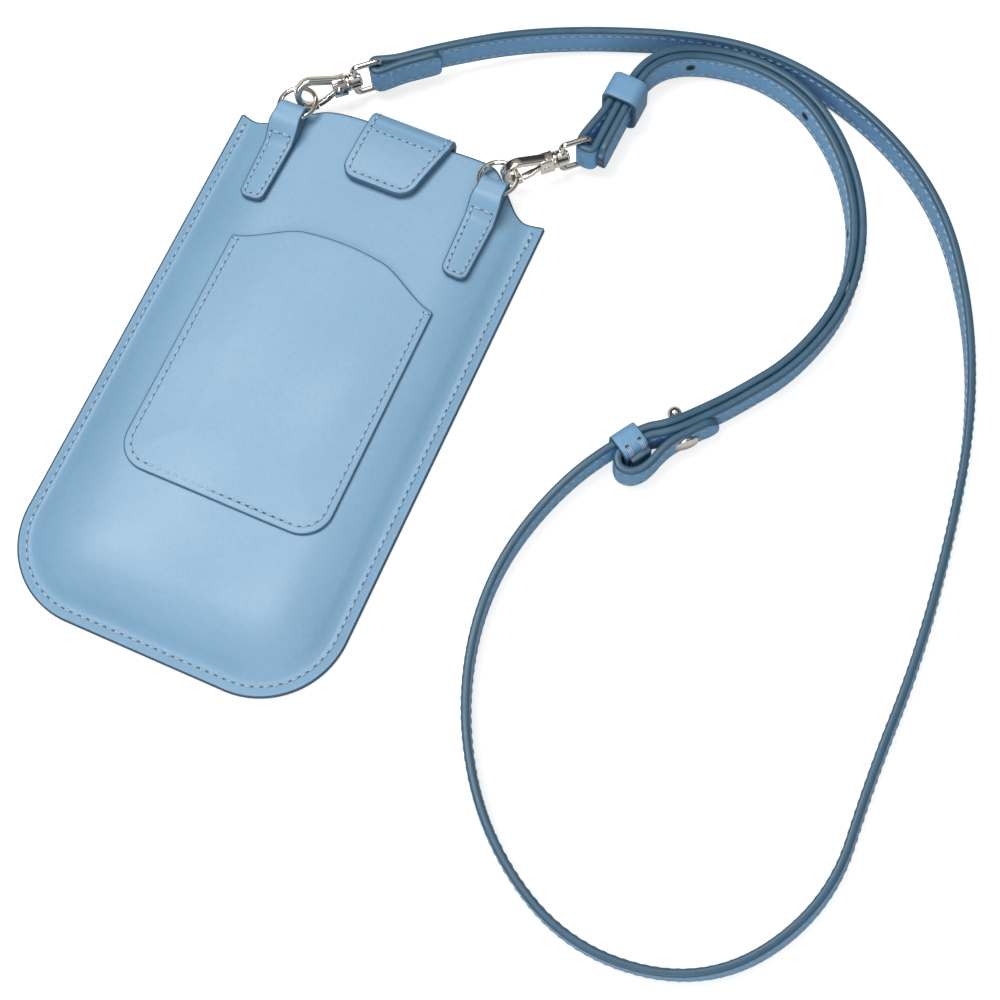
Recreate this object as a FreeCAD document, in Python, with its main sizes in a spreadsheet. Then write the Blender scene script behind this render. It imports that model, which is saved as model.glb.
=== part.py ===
import FreeCAD, Part
import math
import os

# Leather phone pouch lying on its rear panel, with its shoulder strap clipped on.
# Millimetres. X is the pouch's width, +Y points to the mouth, +Z is up.
# The origin is the middle of the flat rear face, half way between ears and bottom edge.

doc = FreeCAD.newDocument("phone_pouch")
V = FreeCAD.Vector

# Driving sizes, all in one sheet.
sheet = doc.addObject("Spreadsheet::Sheet", "sizes")
rows = [
    # pouch body
    ("body_width", 110.0), ("body_length", 177.8), ("corner_radius", 28.0),
    ("hump_rise", 10.9), ("panel_thickness", 1.1), ("lining_thickness", 0.3),
    ("plateau_height", 8.0), ("rim_width", 4.5), ("shoulder_run", 12.0),
    ("shoulder_radius", 9.0), ("glue_gap", 0.05),
    # card pocket
    ("pocket_width", 71.0), ("pocket_low", -38.0), ("pocket_high", 45.0),
    ("pocket_rise", 9.6), ("pocket_corner", 10.0), ("pocket_thickness", 1.1),
    ("pocket_margin", 3.6), ("card_slot", 0.9),
    # closing flap
    ("flap_width", 30.5), ("flap_tip_width", 23.5), ("flap_reach", 23.0),
    ("flap_corner", 6.0), ("ply_thickness", 1.1), ("flap_rest_gap", 0.2),
    ("flap_axis_back", 0.7), ("flap_offset", 3.0), ("flap_tail_length", 14.0),
    ("magnet_radius", 5.0), ("magnet_thickness", 0.7), ("flap_magnet_place", 14.0),
    # ring tabs and rings
    ("tab_spacing", 72.0), ("tab_leather", 0.8), ("tab_fold_past_ears", 5.6),
    ("tab_length", 35.5), ("tab_width", 9.4), ("tab_tip_width", 8.0),
    ("tab_slot", 4.4), ("tab_slot_length", 10.5),
    ("ring_radius", 6.15), ("ring_wire", 1.6), ("ring_play", 1.1), ("ring_depth", 4.8),
    # trigger hooks and their swivel eyes
    ("bend_radius", 4.5), ("bend_place", 16.9), ("hook_band", 2.2), ("hook_depth", 2.8),
    ("block_depth", 4.4), ("block_start", 10.0), ("block_end", 5.0), ("block_half", 3.2),
    ("fork_width", 2.6), ("pin_place", 7.6), ("pin_drop", 0.7), ("pin_radius", 0.8),
    ("pin_fit", 0.05), ("gate_band", 1.9), ("gate_depth", 1.4), ("gate_boss", 1.7),
    ("gate_gap", 0.25),
    ("collar_radius", 2.8), ("collar_end", 3.7), ("post_radius", 1.2), ("post_fit", 0.05),
    ("head_radius", 2.1), ("head_length", 0.8), ("swivel_gap", 0.1),
    ("eye_wire", 1.9), ("eye_near", 2.0), ("eye_far", 7.3), ("eye_height", 14.5),
    ("eye_corner", 1.6), ("hook_rise", 2.5),
    ("left_hook_x", 15.3), ("left_hook_y", 22.4), ("right_hook_x", 17.3), ("right_hook_y", 22.4),
    # straps, keepers and stud
    ("strap_width", 12.0), ("strap_thickness", 2.5), ("layer_gap", 0.2),
    ("strap_tip_radius", 4.5), ("bar_gap", 0.25), ("leg_length", 20.0), ("route_unit", 1.0),
    ("strap_floor_gap", 1.5), ("long_ramp", 55.0), ("short_ramp", 21.0),
    ("hole_radius", 1.4), ("first_hole", 52.0), ("hole_pitch", 46.0),
    ("keeper_wall", 1.0), ("keeper_gap", 0.25), ("lower_keeper_length", 9.5),
    ("upper_keeper_length", 9.0), ("lower_keeper_place", 6.2),
    ("stud_place", 5.6), ("stud_ball", 2.3), ("stud_neck", 1.2), ("stud_base_radius", 4.0),
    ("stud_base_thickness", 1.2), ("stud_screw", 0.9),
    ("join_run", 18.8), ("fold_depth", 3.5), ("fold_width", 8.9), ("fold_start", 7.0),
    ("fold_tip_past_stud", 13.2), ("fold_near", 14.0), ("wrap_start", 7.0),
    ("wrap_slack", 0.7), ("end_run", 12.0), ("end_drop", 3.0), ("end_lean", 0.5),
    ("return_bend", 15.0), ("return_end", 27.0), ("upper_keeper_place", 24.0),
]
for number, (alias, value) in enumerate(rows, start=1):
    sheet.set("A%d" % number, alias)
    sheet.set("B%d" % number, str(value))
    sheet.setAlias("B%d" % number, alias)
doc.recompute()


def size(alias):
    return float(getattr(sheet, alias))


def add(label, shape, placement=None):
    item = doc.addObject("Part::Feature", label)
    item.Label = label
    item.Shape = shape
    if placement is not None:
        item.Placement = placement
    return item


def clean(shape):
    merged = shape.removeSplitter()
    return merged.Solids[0] if len(merged.Solids) == 1 else merged


# Small vector helpers for the plan view.



def left_of(way):
    return V(-way.y, way.x, 0)


def polygon_face(points):
    return Part.Face(Part.makePolygon(list(points) + [points[0]]))


# Wave edge shared by the mouth and the card pocket: a dip beside the end, an S rise
# and a flat middle. Each pair is a share of half the width and a share of the rise.
mouth_right_shares = [(1.0, 0.0), (0.92, -0.12), (0.86, -0.15), (0.81, -0.03), (0.76, 0.2),
                      (0.71, 0.46), (0.655, 0.74), (0.61, 0.93), (0.565, 1.01), (0.48, 1.03), (0.30, 1.0)]
mouth_left_shares = [(1.0, 0.0), (0.92, -0.13), (0.84, -0.17), (0.74, -0.03), (0.67, 0.15), (0.60, 0.40),
                     (0.545, 0.59), (0.50, 0.72), (0.41, 0.86), (0.31, 0.93), (0.18, 0.98)]
pocket_shares = [(1.0, 0.0), (0.93, 0.05), (0.81, 0.22), (0.68, 0.47), (0.55, 0.73),
                 (0.43, 0.92), (0.30, 1.0)]


def wave_edges(half, rise, base, right_shares, left_shares):
    right = [V(half * a, base + rise * b, 0) for a, b in right_shares]
    left = [V(-half * a, base + rise * b, 0) for a, b in reversed(left_shares)]
    edges = []
    for points in (right, left):
        curve = Part.BSplineCurve()
        curve.interpolate(points)
        edges.append(curve.toShape())
    edges.insert(1, Part.makeLine(right[-1], left[0]))
    return edges


def pouch_face(inset):
    """Outline of a body panel: wave at the mouth, rounded corners at the bottom."""
    half = size("body_width") / 2 - inset
    ears = size("body_length") / 2
    low = -ears + inset
    radius = size("corner_radius") - inset
    edges = wave_edges(half, size("hump_rise"), ears, mouth_right_shares, mouth_left_shares)
    turn = radius * math.sqrt(0.5)
    edges.append(Part.makeLine(V(-half, ears, 0), V(-half, low + radius, 0)))
    edges.append(Part.Arc(V(-half, low + radius, 0), V(-half + radius - turn, low + radius - turn, 0),
                          V(-half + radius, low, 0)).toShape())
    edges.append(Part.makeLine(V(-half + radius, low, 0), V(half - radius, low, 0)))
    edges.append(Part.Arc(V(half - radius, low, 0), V(half - radius + turn, low + radius - turn, 0),
                          V(half, low + radius, 0)).toShape())
    edges.append(Part.makeLine(V(half, low + radius, 0), V(half, ears, 0)))
    return Part.Face(Part.Wire(Part.__sortEdges__(edges)))


def tray_wire(inset, z):
    """Rounded outline that runs on past the mouth, for the bulged front."""
    half = size("body_width") / 2 - inset
    ears = size("body_length") / 2
    top = ears + 2 * size("hump_rise")
    low = -ears + inset
    radius = size("corner_radius") - inset
    turn = radius * math.sqrt(0.5)
    edges = [
        Part.makeLine(V(-half, top, z), V(-half, low + radius, z)),
        Part.Arc(V(-half, low + radius, z), V(-half + radius - turn, low + radius - turn, z),
                 V(-half + radius, low, z)).toShape(),
        Part.makeLine(V(-half + radius, low, z), V(half - radius, low, z)),
        Part.Arc(V(half - radius, low, z), V(half - radius + turn, low + radius - turn, z),
                 V(half, low + radius, z)).toShape(),
        Part.makeLine(V(half, low + radius, z), V(half, top, z)),
        Part.makeLine(V(half, top, z), V(-half, top, z)),
    ]
    return Part.Wire(edges)


def skin_inset(sink, z):
    """How far inside the outline the bulged skin, lowered by sink, stands at a height."""
    rim_top = 2 * size("panel_thickness")
    slope = math.atan2(size("plateau_height") - rim_top, size("shoulder_run"))
    return size("rim_width") + sink / math.sin(slope) + (z - rim_top) / math.tan(slope)


def tray(sink, base):
    """Solid under the bulged front, its skin lowered by sink and cut off flat at base."""
    crest = size("plateau_height") - sink
    foot = skin_inset(sink, base)
    crest_inset = skin_inset(sink, crest)
    solid = Part.makeLoft([tray_wire(foot, base), tray_wire(crest_inset, crest)], True, True)
    ridge = []
    far = size("body_length") / 2 + 2 * size("hump_rise")
    for edge in solid.Edges:
        box = edge.BoundBox
        if abs(box.ZMin - crest) < size("glue_gap") and abs(box.ZMax - crest) < size("glue_gap"):
            if box.YMin < far - size("glue_gap"):
                ridge.append(edge)
    return solid.makeFillet(size("shoulder_radius") - sink, ridge)


panel = size("panel_thickness")
lining = size("lining_thickness")
glue = size("glue_gap")
plateau = size("plateau_height")
ears = size("body_length") / 2
tall = 4 * plateau

rear_outline = pouch_face(0)
rear = rear_outline.extrude(V(0, 0, panel))
add("rear_panel", rear)

# Front panel: a flat sewn rim and a bulged tray of even thickness, cut to the wave.
wall = pouch_face(0).extrude(V(0, 0, tall))
rim = pouch_face(0).extrude(V(0, 0, panel))
rim.translate(V(0, 0, panel))
hollow = tray(panel, panel)
front = rim.fuse(tray(0, 1.5 * panel)).cut(hollow).common(wall)
front_solid = clean(front)

# The catch magnet lies in the front, under the flap's own magnet.
magnet_radius = size("magnet_radius")
magnet_y = ears + size("hump_rise") - size("flap_axis_back") - size("flap_magnet_place")
magnet_top = plateau - panel / 2
catch_base = magnet_top - size("magnet_thickness")
catch_seat = Part.makeCylinder(magnet_radius + glue, size("magnet_thickness") + 2 * glue,
                               V(size("flap_offset"), magnet_y, catch_base - glue))
add("front_panel", front_solid.cut(catch_seat))

# Linings: one flat on the rear panel, one nested under the front.
inner_wall = pouch_face(size("rim_width")).extrude(V(0, 0, tall))
skin = panel + glue
front_lining = tray(skin, panel + glue).cut(tray(skin + lining, panel)).common(inner_wall)
add("front_lining", clean(front_lining).cut(catch_seat))

catch = doc.addObject("Part::Cylinder", "catch_magnet")
catch.Label = "catch_magnet"
catch.setExpression("Radius", "sizes.magnet_radius")
catch.setExpression("Height", "sizes.magnet_thickness")
catch.Placement = FreeCAD.Placement(V(size("flap_offset"), magnet_y, catch_base), FreeCAD.Rotation())

# Closing flap. Its tail is sewn on the rear panel, its fold bends round the hinge line.
ply = size("ply_thickness")
flap_low = plateau + size("flap_rest_gap")
flap_high = flap_low + 2 * ply
tail_low = panel + glue
fold_outer = (flap_high - tail_low) / 2
fold_inner = fold_outer - 2 * ply
fold_z = tail_low + fold_outer
fold_y = ears + size("hump_rise") - size("flap_axis_back")
flap_x = size("flap_offset")
flap_half = size("flap_width") / 2


def flap_leaf(low, high):
    """One ply of the flap's front leaf, tapered to a rounded end."""
    tip_half = size("flap_tip_width") / 2
    end = fold_y - size("flap_reach")
    corners = [V(flap_x - flap_half, fold_y, low), V(flap_x - tip_half, end, low),
               V(flap_x + tip_half, end, low), V(flap_x + flap_half, fold_y, low)]
    solid = polygon_face(corners).extrude(V(0, 0, high - low))
    round_off = []
    for edge in solid.Edges:
        box = edge.BoundBox
        upright = box.ZLength > (high - low) / 2
        if upright and box.YMax < fold_y - glue:
            round_off.append(edge)
    return solid.makeFillet(size("flap_corner"), round_off)


flap_magnet_z = flap_low + ply - size("magnet_thickness") / 2
flap_seat = Part.makeCylinder(magnet_radius + glue, size("magnet_thickness") + 2 * glue,
                              V(flap_x, magnet_y, flap_magnet_z - glue))
add("flap_inner", flap_leaf(flap_low, flap_low + ply - glue).cut(flap_seat))
add("flap_outer", flap_leaf(flap_low + ply, flap_high).cut(flap_seat))
flap_magnet = doc.addObject("Part::Cylinder", "flap_magnet")
flap_magnet.Label = "flap_magnet"
flap_magnet.setExpression("Radius", "sizes.magnet_radius")
flap_magnet.setExpression("Height", "sizes.magnet_thickness")
flap_magnet.Placement = FreeCAD.Placement(V(flap_x, magnet_y, flap_magnet_z), FreeCAD.Rotation())

ring_start = V(flap_x - flap_half, fold_y, fold_z)
fold_tube = Part.makeCylinder(fold_outer, 2 * flap_half, ring_start, V(1, 0, 0))
fold_tube = fold_tube.cut(Part.makeCylinder(fold_inner, 2 * flap_half, ring_start, V(1, 0, 0)))
fold_keep = Part.makeBox(2 * flap_half, 2 * fold_outer, 2 * fold_outer + 2 * glue,
                         V(flap_x - flap_half, fold_y + glue, fold_z - fold_outer - glue))
add("flap_fold", fold_tube.common(fold_keep))
tail_place = V(flap_x - flap_half, fold_y - size("flap_tail_length"), tail_low)
tail = Part.makeBox(2 * flap_half, size("flap_tail_length"), ply, tail_place)
add("flap_tail", tail)

# The rear lining leaves room for the sewn tail.
tail_room = Part.makeBox(2 * flap_half + 2 * panel, 2 * size("flap_tail_length"), tall,
                         tail_place - V(panel, panel, 0))
rear_inset = skin_inset(panel + lining + 2 * glue, panel + lining + 2 * glue) + glue
rear_lining = pouch_face(rear_inset).extrude(V(0, 0, lining))
rear_lining.translate(V(0, 0, panel + glue))
add("rear_lining", clean(rear_lining.cut(tail_room)))

# Card pocket: a sewn margin and a field raised by the thickness of a card.


def pocket_face(inset, top_inset):
    half = size("pocket_width") / 2 - inset
    low = size("pocket_low") + inset
    radius = size("pocket_corner") - inset
    high = size("pocket_high") - top_inset
    turn = radius * math.sqrt(0.5)
    edges = wave_edges(half, size("pocket_rise"), high, pocket_shares, pocket_shares)
    edges.append(Part.makeLine(V(-half, high, 0), V(-half, low + radius, 0)))
    edges.append(Part.Arc(V(-half, low + radius, 0), V(-half + radius - turn, low + radius - turn, 0),
                          V(-half + radius, low, 0)).toShape())
    edges.append(Part.makeLine(V(-half + radius, low, 0), V(half - radius, low, 0)))
    edges.append(Part.Arc(V(half - radius, low, 0), V(half - radius + turn, low + radius - turn, 0),
                          V(half, low + radius, 0)).toShape())
    edges.append(Part.makeLine(V(half, low + radius, 0), V(half, high, 0)))
    return Part.Face(Part.Wire(Part.__sortEdges__(edges)))


pocket_base = plateau + glue
sheet_face = pocket_face(0, 0)
margin = size("pocket_margin")
slot = size("card_slot")
past = 2 * size("pocket_rise")
sheet_solid = sheet_face.extrude(V(0, 0, size("pocket_thickness")))
field_wide = pocket_face(margin - size("pocket_thickness"), -past)
field_narrow = pocket_face(margin, -past)
raised = field_wide.extrude(V(0, 0, slot + size("pocket_thickness")))
raised = raised.common(sheet_face.extrude(V(0, 0, tall)))
pocket = sheet_solid.fuse(raised).cut(field_narrow.extrude(V(0, 0, slot)))
pocket.translate(V(0, 0, pocket_base))
add("card_pocket", clean(pocket))

# Ring tabs: a strip folded over a wide slot that holds the ring, tapered to a round end.
leather = size("tab_leather")
tab_end = ears + size("tab_fold_past_ears")
tab_low = plateau + glue
slot_low = tab_low + leather
slot_high = slot_low + size("tab_slot")
tab_top = slot_high + leather
tab_tip = tab_end - size("tab_length")


def tab_solid(middle):
    width = size("tab_width")
    outer_radius = (tab_top - tab_low) / 2
    inner_radius = size("tab_slot") / 2
    mid_z = (tab_top + tab_low) / 2
    slot_start = tab_end - leather - size("tab_slot_length")
    crest = slot_start + size("tab_slot")
    flat_top = tab_low + 2 * leather

    def loop(end, radius, points):
        centre = V(0, end - radius, mid_z)
        arc = Part.Arc(V(0, end - radius, mid_z - radius), centre + V(0, radius, 0),
                       V(0, end - radius, mid_z + radius)).toShape()
        edges = [arc]
        path = [V(0, end - radius, mid_z + radius)] + points + [V(0, end - radius, mid_z - radius)]
        for a, b in zip(path, path[1:]):
            edges.append(Part.makeLine(a, b))
        return Part.Face(Part.Wire(Part.__sortEdges__(edges)))

    outer = loop(tab_end, outer_radius, [V(0, crest, tab_top), V(0, slot_start - leather, flat_top),
                                         V(0, tab_tip, flat_top), V(0, tab_tip, tab_low)])
    inner = loop(tab_end - leather, inner_radius, [V(0, crest + leather / 2, slot_high),
                                                   V(0, slot_start, slot_low)])
    strip = outer.cut(inner).extrude(V(width, 0, 0))
    strip.translate(V(middle - width / 2, 0, 0))
    tip_half = size("tab_tip_width") / 2
    plan = polygon_face([V(middle - width / 2, tab_end, 0), V(middle - tip_half, tab_tip + tip_half, 0),
                         V(middle + tip_half, tab_tip + tip_half, 0), V(middle + width / 2, tab_end, 0)])
    plan_solid = plan.extrude(V(0, 0, tall))
    plan_solid = plan_solid.fuse(Part.makeCylinder(tip_half, tall, V(middle, tab_tip + tip_half, 0)))
    return clean(strip.common(plan_solid))


half_spacing = size("tab_spacing") / 2
add("left_ring_tab", tab_solid(-half_spacing))
add("right_ring_tab", tab_solid(half_spacing))

# Rings: each hangs in its tab and leans down to its hook. lean turns the far side down,
# roll lifts the right side.
ring_radius = size("ring_radius")
ring_near_y = tab_end - leather - size("ring_depth")
ring_near_z = slot_high - size("ring_wire") / 2 - size("ring_play")


def ring(label, side, lean, roll):
    item = doc.addObject("Part::Torus", label)
    item.Label = label
    item.setExpression("Radius1", "sizes.ring_radius")
    item.setExpression("Radius2", "sizes.ring_wire / 2")
    turn = FreeCAD.Rotation(V(0, 1, 0), -roll).multiply(FreeCAD.Rotation(V(1, 0, 0), -lean))
    centre = V(side * half_spacing, ring_near_y, ring_near_z) + turn.multVec(V(0, ring_radius, 0))
    item.Placement = FreeCAD.Placement(centre, turn)
    return centre, turn.multVec(V(0, 0, 1))


ring_lean = {"left": 5.0, "right": 4.0}
ring_roll = {"left": 8.5, "right": 2.9}
for side_name, side_sign in (("left", -1), ("right", 1)):
    ring(side_name + "_ring", side_sign, ring_lean[side_name], ring_roll[side_name])

# Trigger hooks. In their own axes X runs from the nose to the eye, Y lies in the hook's
# plane and Z along the gate pin. yaw turns the hook in plan, roll turns it about its length.
bend = size("bend_radius")
band = size("hook_band")
bend_x = -size("bend_place")
tip_angle = math.radians(285.0)


def ring_band(radius_in, radius_out, start, end, depth):
    """Flat arc band about the hook's bend centre, centred on the hook plane."""
    def at(radius, angle):
        return V(bend_x + radius * math.cos(angle), radius * math.sin(angle), -depth / 2)
    half_way = (start + end) / 2
    edges = [
        Part.Arc(at(radius_out, start), at(radius_out, half_way), at(radius_out, end)).toShape(),
        Part.makeLine(at(radius_out, end), at(radius_in, end)),
        Part.Arc(at(radius_in, end), at(radius_in, half_way), at(radius_in, start)).toShape(),
        Part.makeLine(at(radius_in, start), at(radius_out, start)),
    ]
    return Part.Face(Part.Wire(edges)).extrude(V(0, 0, depth))


def bar(start, end, width, depth):
    """Straight bar of a rectangular section between two points of the hook plane."""
    way = end.sub(start).normalize()
    side = left_of(way) * (width / 2)
    face = polygon_face([start + side, start - side, end - side, end + side])
    solid = face.extrude(V(0, 0, depth))
    solid.translate(V(0, 0, -depth / 2))
    return solid


pin_at = V(-size("pin_place"), -size("pin_drop"), 0)
pin_radius = size("pin_radius")
block_depth = size("block_depth")
slot_depth = size("fork_width")


def hook_frame():
    block_start = -size("block_start")
    block_end = -size("block_end")
    block_half = size("block_half")
    depth = size("hook_depth")
    reach = V(block_start + band / 2 - bend_x, block_half - band / 2, 0)
    arm_angle = math.atan2(reach.y, reach.x) + math.acos(bend / reach.Length)
    arm_from = V(bend_x + bend * math.cos(arm_angle), bend * math.sin(arm_angle), 0)
    arm_to = V(block_start + band / 2, block_half - band / 2, 0)
    solid = ring_band(bend - band / 2, bend + band / 2, arm_angle, tip_angle, depth)
    solid = solid.fuse(bar(arm_from, arm_to, band, depth))
    block = Part.makeBox(block_end - block_start, 2 * block_half, block_depth,
                         V(block_start, -block_half, -block_depth / 2))
    fork_end = pin_at.x + size("gate_boss") + size("gate_gap")
    fork_top = pin_at.y + size("gate_boss") + size("gate_gap")
    fork_low = -2 * block_half
    fork = Part.makeBox(fork_end - block_start + band, fork_top - fork_low, slot_depth,
                        V(block_start - band, fork_low, -slot_depth / 2))
    solid = solid.fuse(block).cut(fork)
    axis = V(1, 0, 0)
    collar = Part.makeCylinder(size("collar_radius"), size("block_end") - size("collar_end"),
                               V(block_end, 0, 0), axis)
    post_end = -size("eye_near") + size("eye_wire") * 0.85
    post = Part.makeCylinder(size("post_radius"), size("collar_end") + post_end,
                             V(-size("collar_end"), 0, 0), axis)
    head = Part.makeCylinder(size("head_radius"), size("head_length"), V(post_end, 0, 0), axis)
    solid = solid.fuse([collar, post, head])
    bore = Part.makeCylinder(pin_radius, 2 * block_depth, pin_at - V(0, 0, block_depth))
    return clean(solid.cut(bore))


def gate():
    depth = size("gate_depth")
    tip = V(bend_x + bend * math.cos(tip_angle), bend * math.sin(tip_angle), 0)
    end = tip + V(size("gate_gap"), 0, 0)
    solid = bar(pin_at, end, size("gate_band"), depth)
    solid = solid.fuse(Part.makeCylinder(size("gate_boss"), depth, pin_at - V(0, 0, depth / 2)))
    lug_at = pin_at + (end - pin_at) * 0.62
    lug = Part.makeCylinder(size("gate_band") * 0.55, size("hook_depth"),
                            lug_at - V(0, size("gate_band") * 0.55, size("hook_depth") / 2))
    solid = solid.fuse(lug)
    keep_off = Part.makeCylinder(bend + band / 2 + size("gate_gap"), tall, V(bend_x, 0, -tall / 2))
    wedge = ring_band(0.0 + size("gate_gap"), bend + band, math.radians(180.0),
                      tip_angle + size("gate_gap") / bend, tall)
    solid = solid.cut(wedge.common(keep_off))
    bore = Part.makeCylinder(pin_radius + size("pin_fit"), 2 * depth, pin_at - V(0, 0, depth))
    return clean(solid.cut(bore))


def gate_spring():
    width = (slot_depth - size("gate_depth")) / 2 - 2 * glue
    low = size("gate_depth") / 2 + glue
    outer = Part.makeCylinder(size("gate_boss") * 0.8, width, pin_at + V(0, 0, low))
    inner = Part.makeCylinder(pin_radius + 2 * glue, width, pin_at + V(0, 0, low))
    return outer.cut(inner)


def eye():
    """Rectangular wire loop with a boss on its near bar for the swivel post."""
    near = -size("eye_near")
    far = size("eye_far")
    half = size("eye_height") / 2
    corner = size("eye_corner")
    turn = corner * (1 - math.sqrt(0.5))
    path = [
        Part.makeLine(V(near, 0, 0), V(near, 0, half - corner)),
        Part.Arc(V(near, 0, half - corner), V(near + turn, 0, half - turn),
                 V(near + corner, 0, half)).toShape(),
        Part.makeLine(V(near + corner, 0, half), V(far - corner, 0, half)),
        Part.Arc(V(far - corner, 0, half), V(far - turn, 0, half - turn), V(far, 0, half - corner)).toShape(),
        Part.makeLine(V(far, 0, half - corner), V(far, 0, corner - half)),
        Part.Arc(V(far, 0, corner - half), V(far - turn, 0, turn - half), V(far - corner, 0, -half)).toShape(),
        Part.makeLine(V(far - corner, 0, -half), V(near + corner, 0, -half)),
        Part.Arc(V(near + corner, 0, -half), V(near + turn, 0, turn - half),
                 V(near, 0, corner - half)).toShape(),
        Part.makeLine(V(near, 0, corner - half), V(near, 0, 0)),
    ]
    section = Part.Wire(Part.makeCircle(size("eye_wire") / 2, V(near, 0, 0), V(0, 0, 1)))
    loop = Part.Wire(path).makePipeShell([section], True, False)
    gap = size("swivel_gap")
    boss_low = -size("collar_end") + gap
    boss_high = near + size("eye_wire") * 0.85 - gap
    boss = Part.makeCylinder(size("collar_radius"), boss_high - boss_low, V(boss_low, 0, 0), V(1, 0, 0))
    bore = Part.makeCylinder(size("post_radius") + size("post_fit"), boss_high - boss_low + 2 * gap,
                             V(boss_low - gap, 0, 0), V(1, 0, 0))
    head_room = Part.makeCylinder(size("head_radius") + gap, size("head_length") + 2 * gap,
                                  V(boss_high, 0, 0), V(1, 0, 0))
    collar_room = Part.makeCylinder(size("collar_radius") + gap, size("block_end"),
                                    V(boss_low - size("block_end"), 0, 0), V(1, 0, 0))
    return clean(loop.fuse(boss).cut(bore).cut(head_room).cut(collar_room))


hook_yaw = {"left": 41.3, "right": 41.5}
hook_roll = {"left": 61.4, "right": 85.3}
hook_height = plateau + size("hook_rise")
hook_place = {}
for side_name, side_sign in (("left", -1), ("right", 1)):
    yaw = math.radians(hook_yaw[side_name])
    along = V(math.cos(yaw), math.sin(yaw), 0)
    origin = V(side_sign * half_spacing + size(side_name + "_hook_x"),
               ring_near_y + size(side_name + "_hook_y"), 0)
    origin.z = hook_height
    plan_turn = FreeCAD.Rotation(V(0, 0, 1), hook_yaw[side_name])
    roll_turn = plan_turn.multiply(FreeCAD.Rotation(V(1, 0, 0), hook_roll[side_name]))
    hook_at = FreeCAD.Placement(origin, roll_turn)
    eye_at = FreeCAD.Placement(origin, plan_turn)
    hook_place[side_name] = (origin, along)
    add(side_name + "_hook_frame", hook_frame(), hook_at)
    add(side_name + "_gate", gate(), hook_at)
    add(side_name + "_gate_spring", gate_spring(), hook_at)
    add(side_name + "_eye", eye(), eye_at)
    pin = doc.addObject("Part::Cylinder", side_name + "_gate_pin")
    pin.Label = side_name + "_gate_pin"
    pin.setExpression("Radius", "sizes.pin_radius")
    pin.setExpression("Height", "sizes.block_depth")
    pin.Placement = hook_at.multiply(FreeCAD.Placement(pin_at - V(0, 0, block_depth / 2),
                                                       FreeCAD.Rotation()))

# Straps. Each route is a list of plan points; the strap follows straight runs joined by
# tangent arcs and stands on its edge.
thick = size("strap_thickness")
eye_low = hook_height - size("strap_width") / 2
floor_low = size("strap_floor_gap")
layer = thick / 2 + size("layer_gap") / 2
corner_share = 0.45
bar_reach = size("eye_wire") / 2 + size("bar_gap") + thick / 2


def routed(points):
    return [V(x * size("route_unit"), y * size("route_unit"), 0) for x, y in points]


def rounded(points, name):
    """Segments of a route: ("line", a, b) and ("arc", a, b, centre, radius, turn sign)."""
    segments = []
    radii = []
    here = points[0]
    for a, b, c in zip(points, points[1:], points[2:]):
        way_in = b.sub(a)
        way_out = c.sub(b)
        shorter = min(way_in.Length, way_out.Length)
        u_in = V(way_in).normalize()
        u_out = V(way_out).normalize()
        turn = math.atan2(u_in.x * u_out.y - u_in.y * u_out.x, u_in.dot(u_out))
        tangent = corner_share * shorter
        radius = tangent / math.tan(abs(turn) / 2)
        sign = 1 if turn > 0 else -1
        start = b - u_in * tangent
        end = b + u_out * tangent
        centre = start + left_of(u_in) * (radius * sign)
        segments.append(("line", here, start))
        segments.append(("arc", start, end, centre, radius, sign))
        radii.append(round(radius, 1))
        here = end
    segments.append(("line", here, points[-1]))
    print(name, "arc radii", radii)
    return segments


def side_edge(segment, offset):
    """The segment's copy at a distance to the left, as an edge with its two ends."""
    a, b = segment[1], segment[2]
    if segment[0] == "line":
        shift = left_of(b.sub(a).normalize()) * offset
        return Part.makeLine(a + shift, b + shift), a + shift, b + shift
    centre, radius, sign = segment[3:]
    part_radius = radius - sign * offset
    p = centre + a.sub(centre).normalize() * part_radius
    q = centre + b.sub(centre).normalize() * part_radius
    middle = centre + (a.sub(centre) + b.sub(centre)).normalize() * part_radius
    return Part.Arc(p, middle, q).toShape(), p, q


def strip(segments, low, high):
    """Standing strap between two offsets of a route."""
    lefts = [side_edge(s, high) for s in segments]
    rights = [side_edge(s, low) for s in segments]
    edges = [e[0] for e in lefts] + [e[0] for e in rights]
    edges.append(Part.makeLine(lefts[0][1], rights[0][1]))
    edges.append(Part.makeLine(lefts[-1][2], rights[-1][2]))
    face = Part.Face(Part.Wire(Part.__sortEdges__(edges)))
    return face.extrude(V(0, 0, tall))


def layered(solid, start, ramp, along_x):
    """Trims a tall strip to the strap's width: at eye height up to start, then sinking over ramp."""
    far = 4 * size("body_length")
    width = size("strap_width")
    low = [(-far, eye_low), (start, eye_low), (start + ramp, floor_low), (far, floor_low)]
    chain = low + [(place, z + width) for place, z in reversed(low)]
    if along_x:
        points = [V(place, -far, z) for place, z in chain]
        sweep = V(0, 2 * far, 0)
    else:
        points = [V(-far, place, z) for place, z in chain]
        sweep = V(2 * far, 0, 0)
    return solid.common(polygon_face(points).extrude(sweep))


def level(solid):
    return layered(solid, -3 * size("body_length"), size("body_length"), True)


def round_tip(solid, tip, way, strap_low):
    """Rounds the two corners of a strap's free end; way points out of the end."""
    radius = size("strap_tip_radius")
    side = left_of(way)
    for high in (False, True):
        z = strap_low + (size("strap_width") - radius if high else radius)
        centre = tip - way * radius - side * thick
        centre.z = z
        corner_z = strap_low + size("strap_width") if high else strap_low
        outer = [V(centre), centre + way * (2 * radius), centre + way * (2 * radius), V(centre)]
        outer[2].z = corner_z + (corner_z - z)
        outer[3].z = corner_z + (corner_z - z)
        block = polygon_face(outer).extrude(side * (2 * thick))
        solid = solid.cut(block.cut(Part.makeCylinder(radius, 2 * thick, centre, side)))
    return solid


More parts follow.
